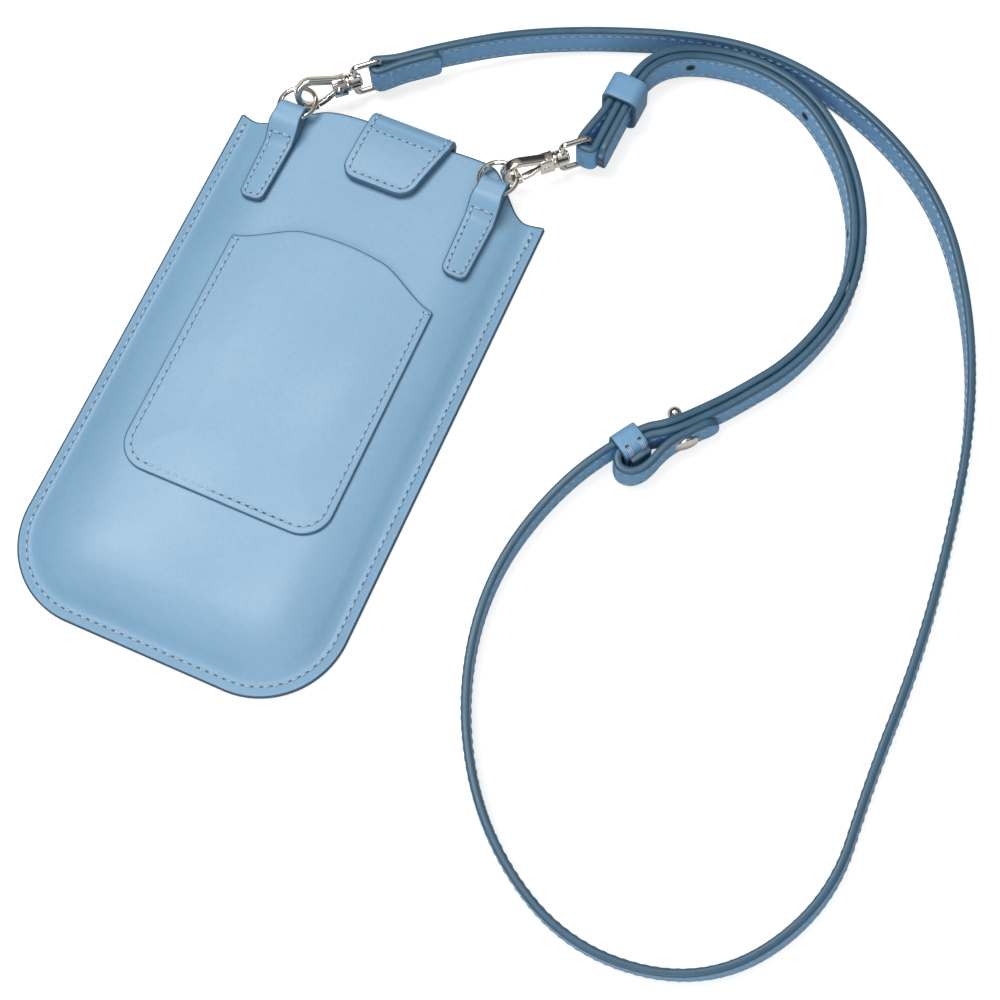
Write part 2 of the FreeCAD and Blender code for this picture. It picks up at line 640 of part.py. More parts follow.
def segment_length(segment):
    if segment[0] == "line":
        return segment[2].sub(segment[1]).Length
    a, b, centre, radius = segment[1:5]
    angle = a.sub(centre).getAngle(b.sub(centre))
    return radius * angle


def place_on(segments, distance):
    """Point and heading at a distance along the route."""
    for segment in segments:
        length = segment_length(segment)
        if distance <= length:
            a, b = segment[1], segment[2]
            if segment[0] == "line":
                way = b.sub(a).normalize()
                return a + way * distance, way
            centre, radius, sign = segment[3:]
            turn = FreeCAD.Rotation(V(0, 0, 1), math.degrees(sign * distance / radius))
            spoke = turn.multVec(a.sub(centre))
            return centre + spoke, left_of(V(spoke).normalize()) * sign
        distance -= length
    return segments[-1][2], segments[-1][2].sub(segments[-1][1]).normalize()


def eye_bar(side_name):
    origin, along = hook_place[side_name]
    return V(origin.x, origin.y, 0) + along * size("eye_far")


# Long strap: from the left eye round the big loop to the lower keeper.
long_points = routed([
    (-4.5, 128.0), (26.5, 149.5), (61.5, 165.0), (99.0, 173.0), (137.5, 163.5), (169.0, 142.5),
    (190.0, 110.0), (203.0, 74.5), (209.0, 37.0), (212.5, -1.0), (212.0, -38.5), (214.0, -77.0),
    (192.0, -110.0), (152.5, -117.5), (118.5, -99.5), (96.0, -68.5), (86.5, -31.0), (93.5, 6.5),
    (104.0, 23.0),
])
left_bar = eye_bar("left")
first_run = long_points[0].sub(left_bar)
leg_angle = math.atan2(first_run.y, first_run.x) - math.asin(bar_reach / first_run.Length)
leg_way = V(math.cos(leg_angle), math.sin(leg_angle), 0)
leg_side = left_of(leg_way) * bar_reach
leg_tip = left_bar + leg_way * size("leg_length") - leg_side * 0.3
long_route = [leg_tip, left_bar - leg_side - leg_way * bar_reach,
              left_bar + leg_side - leg_way * bar_reach] + long_points

# Doubled stretch: the line between the two layers, from the lower keeper to the right eye.
join_way = long_points[-1].sub(long_points[-2]).normalize()
join = long_points[-1] - left_of(join_way) * layer
double_route = [join, join + join_way * size("join_run")] + routed([
    (131.4, 51.2), (146.5, 73.0), (153.5, 99.0), (148.5, 125.0), (134.5, 147.5), (113.5, 163.8),
    (87.0, 166.6), (64.5, 154.0),
])
# The last run comes down straight beside the right eye's bar.
right_bar = eye_bar("right")
end_x = right_bar.x + bar_reach + layer
double_route.append(V(end_x + size("end_lean"), right_bar.y + size("end_run"), 0))
double_route.append(V(end_x, right_bar.y - size("end_drop"), 0))
double_line = rounded(double_route, "doubled stretch")
long_line = rounded(long_route, "long strap")
ramp_x = leg_tip.x + thick
long_strap = layered(strip(long_line, -thick / 2, thick / 2), ramp_x, size("long_ramp"), True)

# The doubled stretch comes down from the right eye before it turns; past the turn it is level.
turn_x = double_route[-4].x
turn_box = Part.makeBox(2 * turn_x, 4 * size("body_length"), tall, V(-turn_x, -2 * size("body_length"), 0))
ramp_y = right_bar.y + size("return_end")


def doubled(segments, low, high):
    whole = strip(segments, low, high)
    near_eye = layered(whole.common(turn_box), ramp_y, size("short_ramp"), False)
    return near_eye.fuse(level(whole.cut(turn_box)))


def strap_middle(point):
    """Height of the strap's middle over a plan point of the doubled stretch."""
    share = (point.y - ramp_y) / size("short_ramp")
    share = 1.0 if point.x > turn_x else min(1.0, max(0.0, share))
    return eye_low + (floor_low - eye_low) * share + size("strap_width") / 2


long_strap = long_strap.fuse(doubled(double_line, size("layer_gap") / 2, size("layer_gap") / 2 + thick))
long_strap = clean(long_strap)
long_strap = round_tip(long_strap, leg_tip, long_route[0].sub(long_route[1]).normalize(), eye_low)
tail_way = double_route[-1].sub(double_route[-2]).normalize()
tail_tip = double_route[-1] + left_of(tail_way) * layer
long_strap = round_tip(long_strap, tail_tip, tail_way, eye_low)
double_length = sum(segment_length(s) for s in double_line)
stud_at = join.sub(double_route[1]).Length + size("stud_place")
hole_at = double_length - size("first_hole")
while hole_at > stud_at + size("hole_pitch") / 2:
    point, way = place_on(double_line, hole_at)
    drill = Part.makeCylinder(size("hole_radius"), 4 * thick, point - left_of(way) * thick,
                              left_of(way))
    drill.translate(V(0, 0, strap_middle(point)))
    long_strap = long_strap.cut(drill)
    hole_at -= size("hole_pitch")

# Short strap: round the lower keeper's wall, along the outside of the doubled stretch and
# round the right eye.
stud_point, stud_way = place_on(double_line, stud_at)
stud_out = left_of(stud_way) * -1
fold_layer = 1.5 * thick + 3 * size("layer_gap")
join_right = left_of(join_way) * -1
fold_tip = stud_point + stud_out * fold_layer + stud_way * size("fold_tip_past_stud")
half_turn = stud_way.getAngle(join_way) / 2
bend_out = (stud_out + join_right).normalize() * (fold_layer / math.cos(half_turn))
fold_route = [fold_tip, double_route[1] + bend_out,
              join + join_way * size("fold_near") + join_right * (fold_layer + size("layer_gap")),
              join - join_way * size("fold_depth") + join_right * size("fold_width"),
              join - join_way * size("fold_depth") + join_right * layer,
              join + join_way * size("fold_start") + join_right * layer]
fold_line = rounded(fold_route, "keeper fold")
short_start = join + join_way * size("fold_start")
short_end = double_route[-1] - tail_way * size("wrap_start")
trimmed = [("line", short_start, double_line[0][2])] + double_line[1:-1]
trimmed.append(("line", double_line[-1][1], short_end))
short_strap = level(strip(fold_line, -thick / 2, thick / 2))
outer_low = -size("layer_gap") / 2 - thick
short_strap = short_strap.fuse(doubled(trimmed, outer_low, -size("layer_gap") / 2))

main_end = short_end - left_of(tail_way) * layer
bar_across = (right_bar - main_end).dot(left_of(tail_way) * -1)
wrap_out = left_of(tail_way) * -1
wrap_low = main_end + tail_way * ((right_bar - main_end).dot(tail_way) + bar_reach)
back_low = wrap_low + wrap_out * (bar_across + bar_reach + size("wrap_slack"))
leg_join, leg_join_way = place_on(double_line, double_length - size("return_bend"))
leg_top, leg_top_way = place_on(double_line, double_length - size("return_end"))
pitch = thick + size("layer_gap")
wrap_route = [main_end, wrap_low, back_low,
              leg_join - left_of(leg_join_way) * (layer + pitch * 1.1),
              leg_top - left_of(leg_top_way) * (layer + pitch * 1.06)]
wrap_line = rounded(wrap_route, "right eye fold")
short_strap = short_strap.fuse(layered(strip(wrap_line, -thick / 2, thick / 2), ramp_y,
                                       size("short_ramp"), False))
short_strap = clean(short_strap)
short_strap = round_tip(short_strap, fold_tip, stud_way, floor_low)

# Stud through the returned end, both layers and the long strap's hole.
mid_z = strap_middle(stud_point)
stud_base_at = fold_layer + thick / 2 + size("layer_gap") / 2
shank_from = stud_point + stud_out * stud_base_at + V(0, 0, mid_z)
inward = stud_out * -1
ball_at = stud_base_at + thick / 2 + size("layer_gap") + size("stud_ball")
hole = Part.makeCylinder(size("stud_neck") + size("bar_gap"), 2 * ball_at, shank_from + stud_out * thick,
                         inward)
long_strap = long_strap.cut(hole)
short_strap = short_strap.cut(hole)
add("long_strap", long_strap)
add("short_strap", short_strap)
strap_area = thick * size("strap_width")
print("long strap length", round(long_strap.Volume / strap_area, 1))
print("short strap length", round(short_strap.Volume / strap_area, 1))

neck_end = thick + size("layer_gap") * 2
neck = Part.makeCylinder(size("stud_neck"), stud_base_at + neck_end, shank_from, inward)
ball = Part.makeSphere(size("stud_ball"),
                       shank_from + inward * (stud_base_at + neck_end + size("stud_ball") * 0.8))
screw_length = stud_base_at / 2
screw_hole = Part.makeCylinder(size("stud_screw") + glue, screw_length + glue, shank_from, inward)
add("stud_ball", clean(neck.fuse(ball).cut(screw_hole)))
base = Part.makeCylinder(size("stud_base_radius"), size("stud_base_thickness"), shank_from, stud_out)
base = base.fuse(Part.makeCylinder(size("stud_screw"), screw_length, shank_from, inward))
add("stud_base", clean(base))


def keeper(label, centre, way, low, high):
    """Closed leather band round the straps between two offsets of the route."""
    body = doc.addObject("Part::Cut", label)
    outer = doc.addObject("Part::Box", label + "_outer")
    inner = doc.addObject("Part::Box", label + "_inner")
    turn = FreeCAD.Rotation(V(0, 0, 1), math.degrees(math.atan2(way.y, way.x)))
    wall_room = size("keeper_wall")
    length_name = "sizes." + label + "_length"
    for box, grow, extra, room in ((outer, size("keeper_gap") + wall_room, 0.0, " + 2 * sizes.keeper_wall"),
                                   (inner, size("keeper_gap"), wall_room, "")):
        longer = " + 2 * sizes.keeper_wall" if extra else ""
        box.setExpression("Length", length_name + longer)
        box.setExpression("Height", "sizes.strap_width + 2 * sizes.keeper_gap" + room)
        box.Width = high - low + 2 * grow
        corner = centre - way * (size(label + "_length") / 2 + extra) + left_of(way) * (low - grow)
        corner.z = strap_middle(centre) - size("strap_width") / 2 - grow
        box.Placement = FreeCAD.Placement(corner, turn)
    body.Base = outer
    body.Tool = inner
    body.Label = label
    return body


layers_low = -size("layer_gap") / 2 - thick
layers_high = size("layer_gap") / 2 + thick
lower_centre = join + join_way * size("lower_keeper_place")
keeper("lower_keeper", lower_centre, join_way, layers_low, layers_high)
upper_centre, upper_way = place_on(double_line, double_length - size("upper_keeper_place"))
keeper("upper_keeper", upper_centre, upper_way, layers_low - pitch * 1.12, layers_high)
for side_name, (origin, along) in hook_place.items():
    print(side_name, "hook", origin, along)
print("pin", pin_at, "ring near", ring_near_y, ring_near_z, "fold axis", fold_y, fold_z)
print("upper keeper", upper_centre, upper_way)

doc.recompute()
labels = ["rear_panel", "front_panel", "front_lining", "rear_lining", "catch_magnet", "card_pocket",
          "left_ring_tab", "right_ring_tab", "flap_tail", "flap_fold", "flap_inner", "flap_outer",
          "flap_magnet", "left_ring", "right_ring", "long_strap", "short_strap", "lower_keeper",
          "upper_keeper", "stud_ball", "stud_base"]
for side_name in ("left", "right"):
    for piece in ("hook_frame", "gate", "gate_pin", "gate_spring", "eye"):
        labels.append(side_name + "_" + piece)
for item in doc.Objects:
    if "Invalid" in item.State or "Error" in item.State:
        raise RuntimeError("not built: " + item.Label)
os.makedirs("parts", exist_ok=True)
for label in labels:
    shape = doc.getObjectsByLabel(label)[0].Shape
    if shape.isNull() or not shape.isValid():
        raise RuntimeError("bad shape: " + label)
    if len(shape.Solids) != 1:
        print("solids in", label, len(shape.Solids))
    shape.exportStep("parts/%s.step" % label)
    print(label, round(shape.Volume, 1), [round(v, 1) for v in (
        shape.BoundBox.XMin, shape.BoundBox.XMax, shape.BoundBox.YMin, shape.BoundBox.YMax,
        shape.BoundBox.ZMin, shape.BoundBox.ZMax)])
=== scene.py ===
import math
import bpy
import numpy as np
from mathutils import Matrix


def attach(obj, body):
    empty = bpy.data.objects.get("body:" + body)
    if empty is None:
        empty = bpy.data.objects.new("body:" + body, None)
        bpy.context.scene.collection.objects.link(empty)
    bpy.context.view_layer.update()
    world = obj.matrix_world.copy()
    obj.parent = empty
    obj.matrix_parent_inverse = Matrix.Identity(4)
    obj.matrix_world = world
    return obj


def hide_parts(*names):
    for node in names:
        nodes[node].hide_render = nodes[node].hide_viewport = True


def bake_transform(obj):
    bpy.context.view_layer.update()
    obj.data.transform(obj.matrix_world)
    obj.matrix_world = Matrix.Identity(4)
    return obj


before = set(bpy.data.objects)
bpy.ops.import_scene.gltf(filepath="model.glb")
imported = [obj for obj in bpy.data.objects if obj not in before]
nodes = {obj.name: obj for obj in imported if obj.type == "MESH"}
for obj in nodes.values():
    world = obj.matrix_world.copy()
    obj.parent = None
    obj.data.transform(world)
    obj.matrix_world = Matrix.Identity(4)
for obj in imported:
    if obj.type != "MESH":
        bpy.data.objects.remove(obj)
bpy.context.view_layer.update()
scene = bpy.context.scene
mm = 0.001


def linear(*rgb):
    shares = [c / 255.0 for c in rgb]
    return tuple(c / 12.92 if c <= 0.04045 else ((c + 0.055) / 1.055) ** 2.4 for c in shares) + (1.0,)


def smooth01(x):
    x = np.clip(x, 0.0, 1.0)
    return x * x * (3 - 2 * x)


def unit(v):
    return v / np.maximum(np.linalg.norm(v, axis=-1, keepdims=True), 1e-12)


def cols(*parts):
    # columns side by side, with single numbers repeated down theirs
    return np.stack(np.broadcast_arrays(*parts), -1)


def halfTurn(count):
    return np.linspace(-math.pi / 2, math.pi / 2, count)


def runOf(path):
    return np.concatenate([[0], np.cumsum(np.linalg.norm(np.diff(path, axis=0), axis=1))])


def circleOf(turn, a, b):
    # a cos + b sin at every angle, for one pair of axes or for a row of pairs
    return np.cos(turn)[:, None] * a[..., None, :] + np.sin(turn)[:, None] * b[..., None, :]


def cornered(half, corner, away):
    # half width near an end with round corners: half - r + sqrt(r^2 - (r - d)^2)
    d = np.clip(away, 0.0, corner)
    return half - corner + np.sqrt(np.maximum(corner ** 2 - (corner - d) ** 2, 0.0))


def meshObject(name, verts, faces, materials, matIndex=None, smooth=True):
    mesh = bpy.data.meshes.new(name)
    mesh.from_pydata((np.asarray(verts) * mm).tolist(), [], [list(f) for f in faces])
    for m in materials:
        mesh.materials.append(m)
    if matIndex is not None:
        mesh.polygons.foreach_set("material_index", np.asarray(matIndex, np.int32))
    mesh.polygons.foreach_set("use_smooth", np.full(len(mesh.polygons), smooth))
    mesh.validate()
    mesh.update()
    obj = bpy.data.objects.new(name, mesh)
    scene.collection.objects.link(obj)
    return obj


def gridFaces(nu, nv, start=0, closeU=False, closeV=False, flip=False):
    i, j = np.meshgrid(np.arange(nu if closeU else nu - 1), np.arange(nv if closeV else nv - 1), indexing="ij")
    i2, j2 = (i + 1) % nu, (j + 1) % nv
    quads = cols(i * nv + j, i2 * nv + j, i2 * nv + j2, i * nv + j2).reshape(-1, 4) + start
    return quads[:, ::-1] if flip else quads


def slab(name, top, bottom, materials, bulge, innerIndex=0):
    # closed sheet between two grids, its rim rounded by two loops pushed outwards
    nu, nv = top.shape[:2]
    grid = np.arange(nu * nv).reshape(nu, nv)
    loop = np.concatenate([grid[:, 0], grid[-1, 1:], grid[-2::-1, -1], grid[0, -2:0:-1]])
    top, bottom = top.reshape(-1, 3), bottom.reshape(-1, 3)
    upper, lower = top[loop], bottom[loop]
    # outwards: square to the rim's own way and to the sheet's thickness
    out = unit(np.cross(np.roll(upper, -1, 0) - np.roll(upper, 1, 0), upper - lower))
    out = out * np.sign(((upper - upper.mean(0)) * out).sum())
    ringA = upper * 0.78 + lower * 0.22 + out * bulge
    ringB = upper * 0.22 + lower * 0.78 + out * bulge
    verts = np.concatenate([top, bottom, ringA, ringB])
    n, count = nu * nv, len(loop)
    faces = [gridFaces(nu, nv), gridFaces(nu, nv, n, flip=True)]
    rings = [loop, 2 * n + np.arange(count), 2 * n + count + np.arange(count), n + loop]
    for a, b in zip(rings, rings[1:]):
        faces.append(cols(np.roll(a, -1), a, b, np.roll(b, -1)))
    index = np.repeat([0, innerIndex, 1], [len(faces[0]), len(faces[1]), 3 * count])
    return meshObject(name, verts, np.concatenate(faces), materials, index)


def sheet(name, x, y, zTop, zLow, materials, bulge):
    return slab(name, cols(x, y, zTop), cols(x, y, zLow), materials, bulge)


# shares of the stitch's length and of its radius for the capsule's five stations
stitchSet = {"share": (0.0, 0.14, 0.5, 0.86, 1.0), "wide": (0.0, 0.85, 1.0, 0.85, 0.0),
             "lift": (-0.7, 0.35, 0.7, 0.35, -0.7), "radius": 0.3, "fill": 0.74,
             "holeAway": 0.12, "holeLift": 0.03, "holeLong": 0.75, "holeWide": 1.1}
hexagon = np.arange(6) * math.pi / 3


def stitchPattern():
    # one capsule (an end point, three rings of six, an end point) and the two needle holes after it, flat discs in a
    # dark colour as painted shade of the holes
    faces = []
    for j in range(6):
        k = (j + 1) % 6
        faces.append((0, 1 + k, 1 + j))
        faces += [(o + j, o + k, o + 6 + k, o + 6 + j) for o in (1, 7)]
        faces.append((13 + j, 13 + k, 19))
    index = [0] * len(faces) + [1, 1]
    return faces + [tuple(o + j for j in range(6)) for o in (20, 26)], index


def stitchMesh(name, rows, materials, radius=stitchSet["radius"]):
    # each row is (points, normals, pitch); every stitch is a small arched capsule with dark discs at its ends,
    # painted shade of its needle holes
    f = stitchSet
    pattern, patternIndex = stitchPattern()
    verts, faces, index, start = [], [], [], 0
    for points, normals, pitch in rows:
        run = runOf(points)
        count = max(1, int(run[-1] / pitch))
        step = run[-1] / count

        def at(s, values):
            return cols(*[np.interp(s, run, column) for column in values.T])

        s0 = np.arange(count) * step + step * (1 - f["fill"]) / 2
        a, b = at(s0, points), at(s0 + step * f["fill"], points)
        up = unit(at(s0 + step * f["fill"] / 2, normals))
        along = unit(b - a)
        side = np.cross(up, along)
        up = np.cross(along, side)
        block = []
        for share, wide, lift in zip(f["share"], f["wide"], f["lift"]):
            centre = (a + (b - a) * share + up * (lift * radius))[:, None]
            r = wide * radius
            block.append(centre + circleOf(hexagon, side * r, up * r) if wide else centre)
        for centre in (a - along * f["holeAway"], b + along * f["holeAway"]):
            hole = circleOf(hexagon, along * (radius * f["holeLong"]), side * (radius * f["holeWide"]))
            block.append((centre + up * f["holeLift"])[:, None] + hole)
        block = np.concatenate(block, 1)
        size = block.shape[1]
        for base in range(start, start + count * size, size):
            faces += [tuple(base + v for v in face) for face in pattern]
        index += patternIndex * count
        verts.append(block.reshape(-1, 3))
        start += count * size
    return meshObject(name, np.concatenate(verts), faces, materials, index)


def feed(node, values=(), sources=()):
    # sets some of a node's inputs and links others
    for key, value in dict(values).items():
        node.inputs[key].default_value = value
    for key, source in dict(sources).items():
        node.id_data.links.new(source, node.inputs[key])
    return node


def addNode(tree, kind, values=(), sources=()):
    return feed(tree.nodes.new("ShaderNode" + kind), values, sources)


def nodeMaterial(name):
    m = bpy.data.materials.new(name)
    m.use_nodes = True
    tree = m.node_tree
    return m, tree, tree.nodes["Principled BSDF"], addNode(tree, "TexCoord").outputs["Object"]


def noiseNode(place, scale, detail):
    values = {"Scale": scale, "Detail": detail, "Roughness": 0.5}
    return addNode(place.id_data, "TexNoise", values, {"Vector": place}).outputs["Fac"]


def rampNode(source, stops):
    r = addNode(source.id_data, "ValToRGB", (), {"Fac": source})
    while len(r.color_ramp.elements) < len(stops):
        r.color_ramp.elements.new(0.5)
    for e, (pos, col) in zip(r.color_ramp.elements, stops):
        e.position = pos
        e.color = col
    return r.outputs["Color"]


def mapNode(source, low, high, toLow, toHigh):
    values = {"From Min": low, "From Max": high, "To Min": toLow, "To Max": toHigh}
    return addNode(source.id_data, "MapRange", values, {"Value": source}).outputs[0]


def mathNode(operation, a, b):
    n = a.id_data.nodes.new("ShaderNodeMath")
    n.operation = operation
    return feed(n, (), {0: a, 1: b}).outputs[0]


def bumpNode(height, strength, distance, under=None):
    sources = {"Height": height}
    if under is not None:
        sources["Normal"] = under
    return addNode(height.id_data, "Bump", {"Strength": strength, "Distance": distance}, sources).outputs["Normal"]


def scaled(col, f):
    return tuple(min(1.0, c * f) for c in col[:3]) + (1.0,)


def leather(name, colour, grain, bump, rough, mottle=0.06, specular=0.45):
    # clouded colour, a cell grain and soft unevenness below it
    m, tree, bsdf, place = nodeMaterial(name)
    cloud = noiseNode(place, 28.0, 3.0)
    speck = noiseNode(place, grain * 0.5, 2.0)
    blotch = mapNode(mathNode("ADD", cloud, speck), 0.6, 1.4, 0.0, 1.0)
    stops = [(0.0, scaled(colour, 1 - mottle)), (0.5, colour), (1.0, scaled(colour, 1 + mottle))]
    cells = tree.nodes.new("ShaderNodeTexVoronoi")
    cells.feature = "DISTANCE_TO_EDGE"
    feed(cells, {"Scale": grain}, {"Vector": place})
    crease = mapNode(cells.outputs["Distance"], 0.0, 0.25, 0.0, 1.0)
    fine = bumpNode(crease, bump, 0.00012)
    soft = noiseNode(place, 90.0, 2.0)
    feed(bsdf, {"Specular IOR Level": specular},
         {"Base Color": rampNode(blotch, stops), "Normal": bumpNode(soft, 0.25, 0.0004, fine),
          "Roughness": mapNode(cloud, 0.3, 0.7, rough - 0.05, rough + 0.07)})
    return m


def plainMaterial(name, colour, noise, stops, bump, values, rough=None, roughNoise=None):
    # one noise for colour and bump; the roughness may follow it too, or a noise of its own
    m, _, bsdf, place = nodeMaterial(name)
    cloud = noiseNode(place, *noise)
    feed(bsdf, values, {"Base Color": rampNode(cloud, [(at, scaled(colour, f)) for at, f in stops]),
                        "Normal": bumpNode(cloud, *bump)})
    if rough:
        grain = noiseNode(place, *roughNoise) if roughNoise else cloud
        feed(bsdf, (), {"Roughness": mapNode(grain, 0.3, 0.7, *rough)})
    return m


def metal(name, colour, rough):
    return plainMaterial(name, colour, (220.0, 3.0), ((0.3, 0.93), (0.7, 1.0)), (0.08, 0.00005),
                         {"Metallic": 1.0}, (rough - 0.04, rough + 0.06), (900.0, 4.0))


def threadMaterial(name, colour):
    return plainMaterial(name, colour, (2600.0, 2.0), ((0.3, 0.8), (0.65, 1.0)), (0.5, 0.0001),
                         {"Roughness": 0.6, "Sheen Weight": 0.3})


def paintMaterial(name, colour, rough):
    return plainMaterial(name, colour, (160.0, 4.0), ((0.3, 0.88), (0.7, 1.08)), (0.3, 0.0002),
                         {}, (rough - 0.05, rough + 0.08))


pouchLeather = leather("pouchLeather", linear(124, 165, 195), 1500.0, 0.16, 0.43, specular=0.6)
strapLeather = leather("strapLeather", linear(116, 170, 212), 1000.0, 0.9, 0.46, 0.13)
keeperLeather = leather("keeperLeather", linear(108, 154, 190), 1100.0, 0.35, 0.46, 0.06)
innerLeather = leather("innerLeather", linear(176, 176, 170), 900.0, 0.5, 0.7, 0.08)
liningCloth = leather("liningCloth", linear(120, 140, 160), 1800.0, 0.5, 0.8, 0.1)
edgePaint = paintMaterial("edgePaint", linear(74, 108, 136), 0.42)
rimPaint = paintMaterial("rimPaint", linear(60, 89, 112), 0.5)
strapPaint = paintMaterial("strapPaint", linear(58, 94, 117), 0.4)
nickel = metal("nickel", linear(236, 230, 220), 0.06)
steel = metal("steel", linear(150, 148, 145), 0.3)
threadPale = threadMaterial("threadPale", linear(178, 202, 221))
strapThread = threadMaterial("strapThread", linear(162, 191, 213))
# needle holes and punched holes: a flat dark colour as painted shade of these recesses
paintedHoleShade = paintMaterial("paintedHoleShade", linear(44, 66, 88), 0.7)
paintedDeepHoleShade = paintMaterial("paintedDeepHoleShade", linear(22, 32, 44), 0.8)
pouchSewing, strapSewing = [threadPale, paintedHoleShade], [strapThread, paintedHoleShade]
print("stage: materials")


def placeObject(obj, x, y, z, place):
    matrix = np.eye(4)
    matrix[:3] = np.stack([x, y, z, place], 1)
    obj.matrix_world = Matrix(matrix.tolist())
    scene.collection.objects.link(obj)


# Camera fitted to the photo: place in millimetres, focal length in pixels of a picture 1000 wide.
cameraSet = {"place": (167.04, -150.46, 517.92), "focal": 1772.05, "sensor": 36.0, "picture": 1000.0, "near": 0.01,
             "right": (0.91367, 0.40457, -0.03905), "down": (0.37295, -0.87267, -0.31522),
             "ahead": (-0.1616, 0.27344, -0.94822)}
camData = bpy.data.cameras.new("photoCamera")
camData.sensor_width = cameraSet["sensor"]
camData.lens = cameraSet["focal"] * cameraSet["sensor"] / cameraSet["picture"]
camData.clip_start = cameraSet["near"]
camera = bpy.data.objects.new("photoCamera", camData)
right, down, ahead, place = (np.array(cameraSet[k]) for k in ("right", "down", "ahead", "place"))
placeObject(camera, right, -down, -ahead, place * mm)
scene.camera = camera

floorSet = {"half": 3000.0, "low": -0.15, "tone": 0.5, "glow": 0.72, "mirrored": 0.16, "rough": 0.9, "specular": 0.1}
h, low = floorSet["half"], floorSet["low"]
floorMat, floorTree, floorBsdf, _ = nodeMaterial("floorMat")
feed(floorBsdf, {"Base Color": (floorSet["tone"],) * 3 + (1.0,), "Roughness": floorSet["rough"],
                 "Specular IOR Level": floorSet["specular"]})
floorGlow = addNode(floorTree, "Emission", {"Strength": floorSet["glow"]})
# paper white where lit, a faint grey where shaded
floorBoth = addNode(floorTree, "AddShader", (), {0: floorBsdf.outputs[0], 1: floorGlow.outputs[0]})
floorPath = addNode(floorTree, "LightPath")
seen = floorPath.outputs["Is Camera Ray"]
for rayKind in ("Is Glossy Ray", "Is Transmission Ray"):
    part = mapNode(floorPath.outputs[rayKind], 0.0, 1.0, 0.0, floorSet["mirrored"])
    seen = mathNode("MAXIMUM", seen, part)
floorMix = addNode(floorTree, "MixShader", (), {"Fac": seen, 1: floorBsdf.outputs[0], 2: floorBoth.outputs[0]})
feed(floorTree.nodes["Material Output"], (), {"Surface": floorMix.outputs[0]})
floor = meshObject("floor", np.array([(-h, -h, low), (h, -h, low), (h, h, low), (-h, h, low)]),
                   [(0, 1, 2, 3)], [floorMat], smooth=False)

# Lights as place, size and power; the sky as height, grey and blue, dark at the sides for the metal.
lightSet = {"key": ((-0.37, 0.15, 1.29), 0.8, 13.5), "front": ((0.5, -1.1, 0.8), 0.9, 7.0), "aim": (0.07, 0.03, 0.0),
            "world": 1.0, "sky": ((0.0, 0.2, 0.2), (0.1, 0.45, 0.45), (0.2, 0.06, 0.065), (0.62, 0.05, 0.055),
                                  (0.9, 0.6, 0.6))}
for name in ("key", "front"):
    data = bpy.data.lights.new(name + "Light", "AREA")
    data.shape = "DISK"
    place, data.size, data.energy = lightSet[name]
    z = unit(np.array(place) - np.array(lightSet["aim"]))
    x = unit(np.cross((0.0, 1.0, 0.001), z))
    placeObject(bpy.data.objects.new(name + "Light", data), x, np.cross(z, x), z, place)
world = bpy.data.worlds.new("studio")
scene.world = world
world.use_nodes = True
wTree = world.node_tree
wSplit = addNode(wTree, "SeparateXYZ", (), {0: addNode(wTree, "TexCoord").outputs["Generated"]})
sky = rampNode(wSplit.outputs["Z"], [(at, (grey, grey, blue, 1)) for at, grey, blue in lightSet["sky"]])
wBack = feed(wTree.nodes["Background"], {"Strength": lightSet["world"]}, {"Color": sky})
wWhite = addNode(wTree, "Background", {"Color": (1.0, 1.0, 1.0, 1.0)})
wPath = addNode(wTree, "LightPath")
wMix = addNode(wTree, "MixShader", (), {"Fac": wPath.outputs["Is Camera Ray"], 1: wBack.outputs[0],
                                        2: wWhite.outputs[0]})
feed(wTree.nodes["World Output"], (), {"Surface": wMix.outputs[0]})
scene.view_settings.view_transform = "Standard"
print("stage: camera and light")

# The doubled stretch is one line between its two layers; the layers follow it half a layer to each side.
strapSet = {"width": 12.0, "thick": 2.5, "layer": 1.35, "rest": 0.1, "eyeLow": 4.5, "keeperLow": 1.5,
            "keeperAt": (108.5, 27.5), "keeperFlat": 12.0, "keeperRamp": 26.0,
            "doubleSink": (30.0, 40.0), "longSink": (46.0, 70.0), "foldGap": 6.5, "wrapJoin": (80.0, 120.6),
            "tipRadius": 4.5, "legRadius": 2.2, "tailRadius": 3.4, "paintAbove": 5.15,
            "lean": -9.0, "leanX": 212.0, "leanReach": 26.0,
            "pitch": 3.0, "thread": 0.26, "rowHigh": 3.65, "rowOut": 1.13, "rowEnd": 6.0, "foldEnds": (8.0, 4.0),
            "crossRows": (2.9, 17.2), "crossOut": 1.22, "crossPitch": 2.1,
            "firstHole": 52.0, "holePitch": 46.0, "holeRadius": 1.3, "holeOut": 1.28}
